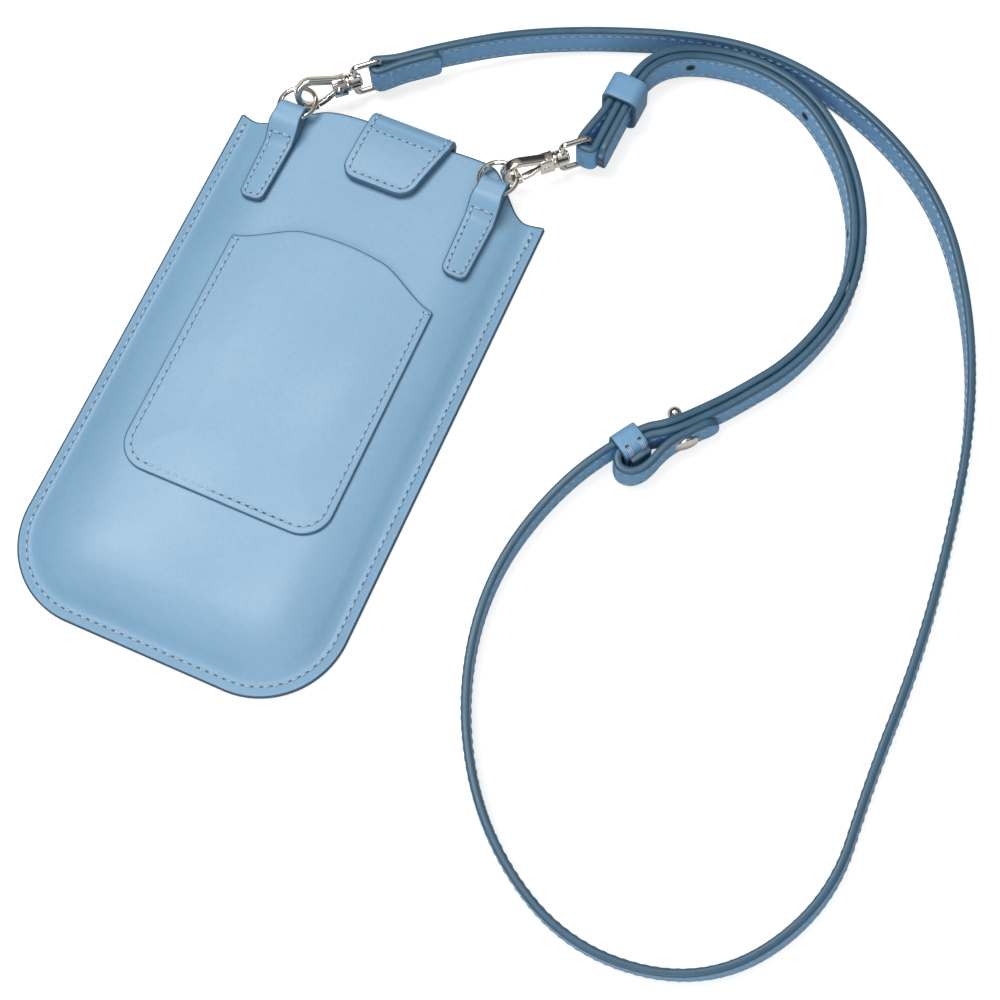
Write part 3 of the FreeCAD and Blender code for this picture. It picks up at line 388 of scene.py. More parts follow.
routes = {
    "longLine": [(0.9, 127.4), (-4.2, 123.2), (-9.2, 119.2), (-12.6, 115.6), (-15.4, 112.9), (-17.6, 114.4),
                 (-18.3, 116.8), (-15.4, 118.2), (-10.6, 120.85), (-4.1, 126.45), (26.7, 149.2), (61.5, 165.0),
                 (99.0, 173.0), (137.5, 163.5), (169.0, 142.5), (190.0, 110.0), (203.0, 74.5), (209.0, 37.0),
                 (212.5, -1.0), (212.0, -38.5), (214.0, -77.0), (192.0, -110.0), (152.5, -117.5), (118.5, -99.5),
                 (96.0, -68.5), (86.5, -31.0), (93.5, 6.5), (104.0, 23.0)],
    "doubleLine": [(105.14, 22.28), (111.6, 32.4), (119.0, 36.9), (126.8, 46.0), (134.0, 55.0), (146.5, 73.0),
                   (153.5, 99.0), (148.5, 125.0), (134.5, 147.5), (113.5, 163.8), (87.0, 166.6), (64.5, 154.0),
                   (63.07, 128.14), (62.57, 113.14)],
    "foldLine": [(109.77, 27.04), (108.21, 24.59), (107.65, 22.35), (108.84, 20.14), (110.25, 18.89),
                 (113.49, 18.91), (116.29, 21.2), (118.06, 24.8), (119.49, 29.84), (121.83, 34.37), (125.36, 38.53),
                 (128.4, 42.6), (131.7, 45.4)],
    "wrapLine": [(61.48, 120.3), (61.35, 116.8), (61.25, 113.7), (58.7, 113.2), (56.1, 113.8), (55.95, 117.2),
                 (57.2, 122.5), (58.79, 128.32), (59.3, 135.0), (59.6, 140.4)]}


def splinePoints(name, route, resolution=24):
    data = bpy.data.curves.new(name, "CURVE")
    data.dimensions = "3D"
    data.resolution_u = resolution
    line = data.splines.new("NURBS")
    line.points.add(len(route) - 1)
    for p, (x, y) in zip(line.points, route):
        p.co = (x * mm, y * mm, 0.0, 1.0)
    line.order_u = 3
    line.use_endpoint_u = True
    holder = bpy.data.objects.new(name, data)
    scene.collection.objects.link(holder)
    bpy.context.view_layer.update()
    mesh = bpy.data.meshes.new_from_object(holder)
    points = np.array([v.co[:] for v in mesh.vertices]) / mm
    bpy.data.objects.remove(holder)
    bpy.data.meshes.remove(mesh)
    keep = np.concatenate([[True], np.linalg.norm(np.diff(points, axis=0), axis=1) > 1e-4])
    return points[keep]


def leftOf(path):
    way = unit(np.gradient(path[:, :2], axis=0))
    return cols(-way[:, 1], way[:, 0], 0.0)


longLine, doubleLine, foldLine, wrapLine = [splinePoints(name, route) for name, route in routes.items()]
doubleLeft = leftOf(doubleLine)
innerLine = doubleLine + doubleLeft * strapSet["layer"]
outerLine = doubleLine - doubleLeft * strapSet["layer"]
longPath = np.concatenate([longLine, innerLine[1:]])
doubleRun = runOf(doubleLine)
joinX, joinY = strapSet["wrapJoin"]
outerKeep = ((doubleLine[:, 1] > joinY) | (doubleLine[:, 0] > joinX)) & (doubleRun > strapSet["foldGap"])
shortPath = np.concatenate([outerLine[outerKeep], wrapLine])


# Height of the strap's lower edge: it hangs level in the eyes, sinks to the table along its run,
# and stands one keeper wall higher in the lower keeper.
def keeperLift(points):
    away = np.hypot(*(points[:, :2] - strapSet["keeperAt"]).T)
    share = 1 - smooth01((away - strapSet["keeperFlat"]) / strapSet["keeperRamp"])
    return (strapSet["keeperLow"] - strapSet["rest"]) * share


def sink(run, level, ramp):
    return strapSet["rest"] + (strapSet["eyeLow"] - strapSet["rest"]) * (1 - smooth01((run - level) / ramp))


lowDouble = sink(doubleRun[-1] - doubleRun, *strapSet["doubleSink"]) + keeperLift(doubleLine)
lowLong = np.concatenate([sink(runOf(longLine), *strapSet["longSink"]) + keeperLift(longLine), lowDouble[1:]])
lowShort = np.concatenate([lowDouble[outerKeep], np.full(len(wrapLine), strapSet["eyeLow"])])
lowFold = strapSet["rest"] + keeperLift(foldLine)
print("stage: routes", [round(float(runOf(p)[-1]), 1) for p in (longPath, shortPath, foldLine)])

# Strap section: painted round edges, a stitched groove near each edge and a slightly crowned middle.
sectionHigh = np.array([6.0, 5.97, 5.8, 5.45, 5.0, 4.1, 3.65, 3.2, 0.0])
sectionOut = np.array([0.0, 0.6, 1.0, 1.2, 1.25, 1.26, 1.12, 1.26, 1.28])
sectionHigh = np.concatenate([sectionHigh, -sectionHigh[-2::-1]])
sectionOut = np.concatenate([sectionOut, sectionOut[-2::-1]])
sectionHigh = np.concatenate([sectionHigh, sectionHigh[-2:0:-1]])
sectionOut = np.concatenate([-sectionOut, sectionOut[-2:0:-1]])


def strapPiece(name, path, low, startRadius, endRadius, lean=0.0):
    left, run = leftOf(path), runOf(path)
    half = strapSet["width"] / 2
    tall = np.minimum(cornered(half, startRadius, run), cornered(half, endRadius, run[-1] - run)) / half
    high = sectionHigh * tall[:, None]
    across = sectionOut + high * np.reshape(np.tan(lean), (-1, 1))
    points = path[:, None] + left[:, None] * across[..., None]
    points[..., 2] += low[:, None] + half + high
    middle = path.copy()
    middle[:, 2] += low + half
    # the section runs backwards so that faces look outwards; the edges and the ends are painted
    edge = np.abs(sectionHigh + np.roll(sectionHigh, -1)) / 2 > strapSet["paintAbove"]
    paint = np.roll(edge[::-1], -1).astype(int).tolist()
    n, k = points.shape[:2]
    faces = [tuple(f) for f in gridFaces(n, k, closeV=True)]
    for j in range(k):  # fans to the middle of both ends
        faces.append(((j + 1) % k, j, n * k))
        faces.append(((n - 1) * k + j, (n - 1) * k + (j + 1) % k, n * k + 1))
    verts = np.concatenate([points[:, ::-1].reshape(-1, 3), middle[[0, -1]]])
    return meshObject(name, verts, faces, [strapLeather, strapPaint], paint * (n - 1) + [1] * (2 * k)), middle


def strapRows(path, low, sides, start, end, lean=0.0):
    left, run = leftOf(path), runOf(path)
    keep = (run >= start) & (run <= run[-1] - end)
    rows = []
    for side in sides:
        for high in (-strapSet["rowHigh"], strapSet["rowHigh"]):
            points = path + left * np.reshape(side * strapSet["rowOut"] + high * np.tan(lean), (-1, 1))
            points[:, 2] = low + strapSet["width"] / 2 + high
            rows.append((points[keep], left[keep] * side, strapSet["pitch"]))
    return rows


f = strapSet
# the long strap leans outwards a little in its far bend
leanShare = np.exp(-((longPath[:, 0] - f["leanX"]) / f["leanReach"]) ** 2)
leanLong = np.radians(f["lean"]) * leanShare
longStrap, longMiddle = strapPiece("longStrap", longPath, lowLong, f["legRadius"], f["tailRadius"], leanLong)
shortStrap, shortMiddle = strapPiece("shortStrap", shortPath, lowShort, 0.0, f["legRadius"])
foldStrap, _ = strapPiece("foldStrap", foldLine, lowFold, 0.0, f["tipRadius"])
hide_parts("long_strap")
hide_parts("short_strap")
longCut = len(longLine)
rows = strapRows(longPath[:longCut], lowLong[:longCut], (1, -1), f["rowEnd"], 0.0, leanLong[:longCut])
rows += strapRows(longPath[longCut:], lowLong[longCut:], (1,), 0.0, f["rowEnd"], leanLong[longCut:])
longRun, longLeft = runOf(longPath), leftOf(longPath)
for at in f["crossRows"]:  # these hold the returned leg
    k = np.searchsorted(longRun, at)
    row = np.tile(longPath[k] + longLeft[k] * f["crossOut"], (9, 1))
    row[:, 2] = lowLong[k] + np.linspace(2.0, 10.0, 9)
    rows.append((row, np.tile(longLeft[k], (9, 1)), f["crossPitch"]))
longStitch = stitchMesh("longStitch", rows, strapSewing, f["thread"])
rows = strapRows(shortPath, lowShort, (-1,), 0.0, f["rowEnd"])
shortStitch = stitchMesh("shortStitch", rows, strapSewing, f["thread"])
rows = strapRows(foldLine, lowFold, (1, -1), *f["foldEnds"])
foldStitch = stitchMesh("foldStitch", rows, strapSewing, f["thread"])


def punchedHoles(name):
    # a shallow dish in a near-black colour, painted shade standing for the hole's depth, inside a pressed rim for
    # each hole of the inner layer: rings of (share of the radius, height)
    ring = np.array([(0.02, 0.015), (0.8, 0.02), (1.0, 0.05), (1.12, 0.09), (1.3, 0.03), (1.34, -0.1)])
    turn = np.linspace(0.0, 2 * math.pi, 28, endpoint=False)
    left, up = leftOf(innerLine), np.array([0.0, 0.0, 1.0])
    verts, faces, index = [], [], []
    at = doubleRun[-1] - strapSet["firstHole"]
    while at > strapSet["holePitch"]:
        k = np.searchsorted(doubleRun, at)
        out = left[k]
        centre = innerLine[k] + out * strapSet["holeOut"] + up * (lowDouble[k] + strapSet["width"] / 2)
        circle = circleOf(turn, np.cross(up, out), up) * strapSet["holeRadius"]
        verts.append((centre + ring[:, :1, None] * circle + ring[:, 1:, None] * out).reshape(-1, 3))
        faces.append(gridFaces(len(ring), len(turn), len(faces) * len(ring) * len(turn), closeV=True))
        index.append(np.repeat([0, 0, 1, 1, 1], len(turn)))
        at -= strapSet["holePitch"]
    return meshObject(name, np.concatenate(verts), np.concatenate(faces), [paintedDeepHoleShade, strapPaint],
                      np.concatenate(index))


strapHoles = punchedHoles("strapHoles")
for piece in (longStrap, shortStrap, foldStrap, longStitch, shortStitch, foldStitch, strapHoles):
    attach(piece, "pouch")
print("stage: straps")

# Pouch body. Columns run from the bottom outline to the wave of the mouth.
bodySet = {"half": 55.0, "ears": 88.9, "corner": 28.0, "rise": 10.9, "panel": 1.1, "rim": 4.5,
           "plateau": 8.0, "shoulder": 30.0, "columns": 150, "rows": 210, "inset": 0.55, "mouthInset": 0.4,
           "rimTilt": 0.8, "tiltReach": 4.2, "seam": 3.2, "seamTop": 3.5, "rearSeam": 0.3, "pitch": 2.9,
           "tackIn": 2.75, "tack": (79.2, 85.2), "liningInset": (6.0, 1.2), "rearInset": (9.0, 1.2),
           "liningBulge": 0.02, "liningGap": 0.08, "liningThick": 0.3, "liningLeast": (1.75, 1.5),
           "rearLining": (1.4, 1.12)}
mouthRight = [(1.0, 0.0), (0.92, -0.12), (0.86, -0.15), (0.81, -0.03), (0.76, 0.2), (0.71, 0.46),
              (0.655, 0.74), (0.61, 0.93), (0.565, 1.01), (0.48, 1.03), (0.30, 1.0)]
mouthLeft = [(1.0, 0.0), (0.92, -0.13), (0.84, -0.17), (0.74, -0.03), (0.67, 0.15), (0.60, 0.40),
             (0.545, 0.59), (0.50, 0.72), (0.41, 0.86), (0.31, 0.93), (0.18, 0.98)]
pocketWave = [(1.0, 0.0), (0.93, 0.05), (0.81, 0.22), (0.68, 0.47), (0.55, 0.73), (0.43, 0.92), (0.30, 1.0)]


def waveThrough(right, left, x):
    # cubic through the wave's points, with slopes from their neighbours (Hermite form)
    pts = sorted([(-a, b) for a, b in left] + list(right))
    px, py = np.array([p[0] for p in pts]), np.array([p[1] for p in pts])
    slope = np.gradient(py, px)
    i = np.clip(np.searchsorted(px, x) - 1, 0, len(px) - 2)
    w = px[i + 1] - px[i]
    t = (x - px[i]) / w
    return ((1 + 2 * t) * (1 - t) ** 2 * py[i] + t * (1 - t) ** 2 * w * slope[i]
            + t * t * (3 - 2 * t) * py[i + 1] + t * t * (t - 1) * w * slope[i + 1])


def edgeDistance(x, y, half, low, corner):
    ax = np.abs(x)
    inCorner = (ax > half - corner) & (y < low + corner)
    flatRim = np.minimum(half - ax, y - low)
    roundRim = corner - np.hypot(ax - (half - corner), y - (low + corner))
    return np.maximum(np.where(inCorner, roundRim, flatRim), 0.0)


def frontHeight(x, y):
    # rim, then a leather bulge 1 - (1 - t)^2.6 up to the plateau, with faint sags in the middle
    d = edgeDistance(x, y, bodySet["half"], -bodySet["ears"], bodySet["corner"])
    t = np.clip((d - bodySet["rim"]) / bodySet["shoulder"], 0.0, 1.0)
    s = 1 - (1 - t) ** 2.6
    s = s * (0.6 + 0.4 * smooth01(t * 6.0))
    sag = 0.22 * np.sin(x / 15.0 + 0.6) * np.sin(y / 21.0 + 1.1) + 0.14 * np.sin(x / 9.0 - y / 13.0)
    low = 2 * bodySet["panel"] + 0.05
    low = low - bodySet["rimTilt"] * (1 - smooth01(d / bodySet["tiltReach"]))
    return low + (bodySet["plateau"] - low) * s + (sag - 0.3) * s * smooth01((t - 0.5) * 2)


def columnGrid(half, low, corner, topOf, nu, nv, inset):
    # columns from the rounded bottom outline to the top line, denser near the sides and both ends
    x = (half - inset) * np.sin(halfTurn(nu))
    past = np.maximum(np.abs(x) - (half - corner), 0.0)
    yLow = low + corner - np.sqrt(np.maximum((corner - inset) ** 2 - past ** 2, 0.0))
    v = np.linspace(0.0, 1.0, nv)
    v = v - 0.1 * np.sin(2 * math.pi * v) / (2 * math.pi)
    y = yLow[:, None] + (topOf(x) - yLow)[:, None] * v
    return np.repeat(x[:, None], nv, 1), y


def mouthY(x):
    share = np.clip(x / bodySet["half"], -1.0, 1.0)
    return bodySet["ears"] + bodySet["rise"] * waveThrough(mouthRight, mouthLeft, share)


def bodyGrid(inset, topInset):
    return columnGrid(bodySet["half"], -bodySet["ears"], bodySet["corner"], lambda x: mouthY(x) - topInset,
                      bodySet["columns"], bodySet["rows"], inset)


f = bodySet
x, y = bodyGrid(f["inset"], f["mouthInset"])
height = frontHeight(x, y)
under = np.maximum(height - f["panel"], f["panel"] + 0.02)
frontPanel = sheet("frontPanel", x, y, height, under, [pouchLeather, rimPaint], f["inset"])
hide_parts("front_panel")
rearPanel = sheet("rearPanel", x, y, f["panel"], 0.0, [pouchLeather, rimPaint], f["inset"])
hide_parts("rear_panel")
x, y = bodyGrid(*f["liningInset"])
under = frontHeight(x, y) - f["panel"] - f["liningGap"]
upper, lower = (np.maximum(z, least) for z, least in zip((under, under - f["liningThick"]), f["liningLeast"]))
frontLining = sheet("frontLining", x, y, upper, lower, [liningCloth] * 2, f["liningBulge"])
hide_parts("front_lining")
x, y = bodyGrid(*f["rearInset"])
rearLining = sheet("rearLining", x, y, *f["rearLining"], [liningCloth] * 2, f["liningBulge"])
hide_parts("rear_lining")


def outlineRow(half, low, corner, inset, sideTop):
    # the outline's left side, rounded bottom and right side, drawn in by inset
    r = corner - inset
    a = np.linspace(0.0, math.pi / 2, 40)
    left = cols(-half + inset, np.linspace(sideTop, low + corner, 60))
    turnL = cols(-half + corner - r * np.cos(a), low + corner - r * np.sin(a))
    turnR = cols(half - corner + r * np.sin(a), low + corner - r * np.cos(a))
    right = cols(half - inset, np.linspace(low + corner, sideTop, 60))
    return np.concatenate([left, turnL[1:], turnR, right[1:]])


def onSurface(plan, heightOf):
    # points on a height field and its normals there, by central differences
    px, py, e = plan[:, 0], plan[:, 1], 0.15
    dx = (heightOf(px + e, py) - heightOf(px - e, py)) / (2 * e)
    dy = (heightOf(px, py + e) - heightOf(px, py - e)) / (2 * e)
    return cols(px, py, heightOf(px, py)), unit(cols(-dx, -dy, 1.0))


rim = outlineRow(f["half"], -f["ears"], f["corner"], f["seam"], f["ears"] - f["seamTop"])
points, normals = onSurface(rim, frontHeight)
rearRim = points.copy()
rearRim[:, 2] = f["rearSeam"]
rows = [(points, normals, f["pitch"]), (rearRim, normals * 0 + (0, 0, -1.0), f["pitch"])]
for sign in (-1.0, 1.0):  # back-tacks at the two ears
    tack = cols(sign * (f["half"] - f["tackIn"]), np.linspace(*f["tack"], 8))
    rows.append(onSurface(tack, frontHeight) + (f["pitch"],))
bodyStitch = stitchMesh("bodyStitch", rows, pouchSewing)
for piece in (frontPanel, rearPanel, frontLining, rearLining, bodyStitch):
    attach(piece, "pouch")
print("stage: pouch body")

# Card pocket: a ply sewn round three sides, its field lifted by the thickness of a card.
pocketSet = {"half": 35.5, "low": -38.0, "corner": 10.0, "high": 45.0, "rise": 9.6, "thick": 1.0, "slot": 0.9,
             "flat": 2.6, "ramp": 16.0, "gap": 0.08, "inset": 0.35, "topInset": 0.3, "bulge": 0.38,
             "columns": 110, "rows": 120, "seam": 2.4, "seamTop": 1.0, "pitch": 2.9,
             "tack": (3.0, 0.6), "tackTop": 1.1, "tackPitch": 2.4}


def pocketTop(x):
    share = np.clip(x / pocketSet["half"], -1.0, 1.0)
    return pocketSet["high"] + pocketSet["rise"] * waveThrough(pocketWave, pocketWave, share)


def pocketHeight(x, y):
    d = edgeDistance(x, y, pocketSet["half"], pocketSet["low"], pocketSet["corner"])
    lift = pocketSet["slot"] * smooth01((d - pocketSet["flat"]) / pocketSet["ramp"])
    return frontHeight(x, y) + pocketSet["gap"] + pocketSet["thick"] + lift


f = pocketSet
x, y = columnGrid(f["half"], f["low"], f["corner"], lambda x: pocketTop(x) - f["topInset"],
                  f["columns"], f["rows"], f["inset"])
height = pocketHeight(x, y)
cardPocket = sheet("cardPocket", x, y, height, height - f["thick"], [pouchLeather, edgePaint], f["bulge"])
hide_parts("card_pocket")
rim = outlineRow(f["half"], f["low"], f["corner"], f["seam"], f["high"] - f["seamTop"])
rows = [onSurface(rim, pocketHeight) + (f["pitch"],)]
for sign in (-1.0, 1.0):
    tackX = sign * np.linspace(f["half"] - f["tack"][0], f["half"] - f["tack"][1], 6)
    tack = cols(tackX, f["high"] - f["tackTop"])
    rows.append(onSurface(tack, pocketHeight) + (f["tackPitch"],))
pocketStitch = stitchMesh("pocketStitch", rows, pouchSewing)
for piece in (cardPocket, pocketStitch):
    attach(piece, "pouch")
print("stage: card pocket")


def outwardOf(line):
    way = unit(np.gradient(line, axis=0))
    return cols(way[:, 1], -way[:, 0])


def heightAt(line, y):
    return np.interp(y, line[:, 0], line[:, 1])


def ribbon(name, line, thick, centre, half, materials, bulge, across, shift=None, innerIndex=0):
    # strip along a line in the Y-Z plane, with its thickness, middle and half width at each place of the line
    x = np.reshape(centre, (-1, 1)) + half[:, None] * np.sin(halfTurn(across))
    under = line - outwardOf(line) * np.reshape(thick, (-1, 1))
    outer, inner = (cols(x, place[:, :1], place[:, 1:]) for place in (line, under))
    if shift:
        outer, inner = shift(outer), shift(inner)
    return slab(name, outer, inner, materials, bulge, innerIndex)


# Ring tabs: strips folded over the rings and sewn down flat, following the bulge of the front.
tabSet = {"spacing": 36.0, "tip": 59.0, "end": 94.2, "half": 4.28, "wide": 4.8, "tipHalf": 3.85, "corner": 2.4,
          "wideAt": 85.0, "narrowAt": 88.5, "thick": 1.1, "base": 8.05, "top": 14.05, "slopeAt": 79.0, "slope": 9.0,
          "bulge": 0.42, "across": 25, "stitch": 1.25, "cross": 82.6, "pitch": 2.45,
          "holdEnd": 86.0, "holdRamp": 8.0, "levelFrom": 90.0}


def tabLine():
    # lower leg from the tip, round the fold, back along the top and down onto the lower leg
    f = tabSet
    r = (f["top"] - f["base"]) / 2
    low = cols(np.linspace(f["tip"], f["end"] - r - 0.3, 60), f["base"])
    a = halfTurn(24)[1:]
    turn = cols(f["end"] - r + r * np.cos(a), f["base"] + r + r * np.sin(a))
    yBack = np.linspace(f["end"] - r - 0.4, f["tip"], 90)
    flat = f["base"] + 2 * f["thick"] + 0.04
    back = cols(yBack, flat + (f["top"] - flat) * smooth01((yBack - f["slopeAt"]) / f["slope"]))
    return np.concatenate([low, turn, back]), len(low) + len(turn)


def tabHalf(y):
    f = tabSet
    half = np.interp(y, [f["tip"], f["wideAt"], f["narrowAt"], f["end"]],
                     [f["tipHalf"], f["wide"], f["half"], f["half"]])
    return cornered(half, f["corner"], y - f["tip"])


def onFront(points):
    # drops a piece with the front's own sag and shoulder; the fold keeps its place
    out = points.copy()
    hold = smooth01((tabSet["holdEnd"] - out[..., 1]) / tabSet["holdRamp"])
    level = frontHeight(out[..., 0], np.minimum(out[..., 1], tabSet["levelFrom"]))
    out[..., 2] += (level - bodySet["plateau"]) * hold
    return out


f = tabSet
tabFold, foldEnd = tabLine()
for sideName, sign in (("left", -1.0), ("right", 1.0)):
    middle = sign * f["spacing"]
    piece = ribbon(sideName + "Tab", tabFold, f["thick"], middle, tabHalf(tabFold[:, 0]),
                   [pouchLeather, edgePaint], f["bulge"], f["across"], onFront)
    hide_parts(sideName + "_ring_tab")
    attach(piece, "pouch")
    inset = f["stitch"]
    lead = np.linspace(f["cross"], f["tip"] + f["corner"], 40)
    w = tabHalf(lead) - inset
    arc = np.linspace(0.0, math.pi / 2, 12)
    r = f["corner"] - inset
    cornerX = f["tipHalf"] - inset - r + r * np.cos(arc)
    cornerY = f["tip"] + f["corner"] - r * np.sin(arc)
    rowX = np.concatenate([-w, -cornerX, cornerX[::-1], w[::-1]])
    rowY = np.concatenate([lead, cornerY, cornerY[::-1], lead[::-1]])
    back = tabFold[foldEnd:][::-1]
    rows = []
    for x, y in ((rowX, rowY), (np.linspace(-w[0], w[0], 9), np.full(9, f["cross"]))):
        row = cols(x + middle, y, heightAt(back, y))
        rise = (heightAt(back, y + 0.3) - heightAt(back, y - 0.3)) / 0.6
        up = unit(cols(0.0, -rise, 1.0))
        rows.append((onFront(row), up, f["pitch"]))
    stitches = stitchMesh(sideName + "TabStitch", rows, pouchSewing)
    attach(stitches, "pouch")
print("stage: ring tabs")

# Closing flap: one strip from its sewn tail, round the fold and out over the front.
flapSet = {"foldY": 99.1, "foldZ": 5.775, "outer": 4.65, "tail": 85.3, "tailZ": 1.17, "tip": 77.8, "leafZ": 10.42,
           "arch": 0.3, "half": 14.1, "tipHalf": 11.7, "middle": 2.7, "shift": -3.1, "corner": 4.6, "thick": 2.5,
           "tailThick": 1.05, "tailRows": 24, "taper": 10, "bulge": 0.5, "across": 41, "stitch": 1.7,
           "stitchBack": 16, "cross": 95.6, "pitch": 2.6}


def flapLine():
    # sewn tail, half circle round the fold, then the leaf with a slight arch
    f, n = flapSet, flapSet["tailRows"]
    low = cols(np.linspace(f["tail"], f["foldY"] - 0.2, n), f["tailZ"])
    a = halfTurn(40)
    turn = cols(f["foldY"] + f["outer"] * np.cos(a), f["foldZ"] + f["outer"] * np.sin(a))
    yBack = np.linspace(f["foldY"] - 0.3, f["tip"], 90)
    t = (f["foldY"] - yBack) / (f["foldY"] - f["tip"])
    rise = smooth01(t * 6) + np.sin(math.pi * np.clip(t * 1.15, 0, 1))
    back = cols(yBack, f["leafZ"] + f["arch"] * rise)
    return np.concatenate([low, turn, back]), len(low) + len(turn)


def flapPlan(y):
    # half width and middle of the leaf at a distance down from the fold
    f = flapSet
    t = np.maximum((f["foldY"] - y) / (f["foldY"] - f["tip"]), 0.0)
    half = f["half"] + (f["tipHalf"] - f["half"]) * t
    return cornered(half, f["corner"], y - f["tip"]), f["middle"] + f["shift"] * t


f = flapSet
line, leaf = flapLine()
half, middle = flapPlan(line[:, 0])
half[:leaf], middle[:leaf] = f["half"], f["middle"]
tailEnd, taperEnd = f["tailRows"], f["tailRows"] + f["taper"]
thick = np.full(len(line), f["thick"])
thick[:tailEnd] = f["tailThick"]
thick[tailEnd:taperEnd] = np.linspace(f["tailThick"], f["thick"], f["taper"])
flap = ribbon("flap", line, thick, middle, half, [pouchLeather, edgePaint, innerLeather], f["bulge"],
              f["across"], innerIndex=2)
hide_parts("flap_tail", "flap_fold", "flap_inner", "flap_outer")

# the edge row starts high on the fold, runs down one side, round the tip and up the other side
inset, r = f["stitch"], f["corner"] - f["stitch"]
cornerAt = f["tip"] + f["corner"]
side = slice(leaf - f["stitchBack"], leaf + int(np.argmin(np.abs(line[leaf:, 0] - cornerAt))))
arc = np.linspace(0.0, math.pi / 2, 14)[1:]
tipY = cornerAt - r * np.sin(arc)
back = line[leaf:][::-1]
rowHalf = np.concatenate([half[side] - inset, half[side][-1] - inset - r + r * np.cos(arc)])
rowMiddle = np.concatenate([middle[side], flapPlan(tipY)[1]])
rowPlace = np.concatenate([line[side], cols(tipY, heightAt(back, tipY))])
leftRow, rightRow = (cols(x, *rowPlace.T) for x in (rowMiddle - rowHalf, rowMiddle + rowHalf))
rowUp = cols(0.0, *np.concatenate([outwardOf(line)[side], cols(np.zeros(len(tipY)), 1.0)]).T)
edgeRow, edgeUp = np.concatenate([leftRow, rightRow[::-1]]), np.concatenate([rowUp, rowUp[::-1]])
crossHalf, crossMiddle = flapPlan(f["cross"])
reach = crossHalf - inset
crossRow = cols(np.linspace(crossMiddle - reach, crossMiddle + reach, 20), f["cross"], heightAt(back, f["cross"]))
crossUp = np.tile((0.0, 0.0, 1.0), (20, 1))
flapStitch = stitchMesh("flapStitch", [(edgeRow, edgeUp, f["pitch"]), (crossRow, crossUp, f["pitch"])],
                        pouchSewing)
for piece in (flap, flapStitch):
    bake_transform(piece)
print("stage: flap")

# Hardware. Rings and eyes keep their CAD shapes; hooks, gates, pins and the stud are rounded pieces.
metalNodes = ((nickel, ("left_ring", "right_ring", "left_eye", "right_eye")),
              (steel, ("left_gate_spring", "right_gate_spring", "catch_magnet", "flap_magnet")))
for material, names in metalNodes:
    for name in names:
        nodes[name].data.materials.clear()
        nodes[name].data.materials.append(material)


def lathe(profile, turns=36):
    # revolves (x, r) pairs about the X axis
    x, r = np.array(profile).T[..., None]
    a = np.linspace(0.0, 2 * math.pi, turns, endpoint=False)
    faces = gridFaces(len(profile), turns, closeV=True, flip=True)
    return cols(x, r * np.cos(a), r * np.sin(a)).reshape(-1, 3), faces


def roundedBox(low, high, radius, steps=4):
    # cube grid pushed to a box with rounded edges: inner box plus radius along the offset
    low, high = np.array(low), np.array(high)
    half, mid = (high - low) / 2, (high + low) / 2
    t = np.linspace(0.0, radius, steps)
    verts, faces, start = [], [], 0
    for axis in range(3):
        u, v = (axis + 1) % 3, (axis + 2) % 3
        lines = [np.concatenate([-half[k] + t, half[k] - t[::-1]]) for k in (u, v)]
        gu, gv = np.meshgrid(*lines, indexing="ij")
        for sign in (-1, 1):
            q = np.zeros(gu.shape + (3,))
            q[..., u], q[..., v], q[..., axis] = gu, gv, sign * half[axis]
            inner = np.clip(q, -(half - radius), half - radius)
            q = inner + radius * unit(q - inner)
            verts.append(q.reshape(-1, 3) + mid)
            faces.append(gridFaces(gu.shape[0], gu.shape[1], start, flip=sign < 0))
            start += gu.size
    return np.concatenate(verts), np.concatenate(faces)


def roundedCorners(xLow, xHigh, zLow, zHigh, steps):
    # angle and corner centre for each point of a rounded rectangle
    angle = np.radians(np.concatenate([begin + np.linspace(0.0, 90.0, steps) for begin in (0, 90, 180, 270)]))
    return angle, np.repeat([xHigh, xLow, xLow, xHigh], steps), np.repeat([zHigh, zHigh, zLow, zLow], steps)


def bandSweep(path, halfThick, halfDeep, radius, endRound=0.25, spread=1.0):
    # rounded rectangle swept along a line of the hook's plane; the last sections shrink to a round end
    side = -outwardOf(path)
    x, z = halfThick - radius, halfDeep - radius
    angle, centreX, centreZ = roundedCorners(-x, x, -z, z, 6)
    run = runOf(path)
    left = np.clip((run[-1] - run) / endRound, 0.0, 1.0)
    grow = 0.7 + 0.3 * np.sqrt(np.maximum(1 - (1 - left) ** 2, 0.0))
    count = len(angle)
    verts = np.zeros((len(path), count, 3))
    verts[..., :2] = path[:, None] + side[:, None] * np.outer(grow, centreX + radius * np.cos(angle))[..., None]
    verts[..., 2] = np.outer(grow * spread, centreZ + radius * np.sin(angle))
    faces = [tuple(f) for f in gridFaces(len(path), count, closeV=True)]
    faces.append(tuple(range(count))[::-1])
    faces.append(tuple(range((len(path) - 1) * count, len(path) * count)))
    return verts.reshape(-1, 3), faces


def onPin(halfProfile):
    # a turned piece on the gate's pin, the same on both sides of the hook's plane
    verts, faces = lathe([(-x, r) for x, r in halfProfile[::-1]] + halfProfile)
    return verts[:, ::-1] + np.array(hookSet["pin"] + (0.0,)), faces[:, ::-1]


def joined(name, parts, materials, turn, origin):
    verts, faces, start = [], [], 0
    for partVerts, partFaces in parts:
        verts.append(partVerts)
        faces += [tuple(int(v) + start for v in f) for f in partFaces]
        start += len(partVerts)
    verts = np.concatenate(verts) @ turn.T + np.array(origin)
    return meshObject(name, verts, faces, materials)


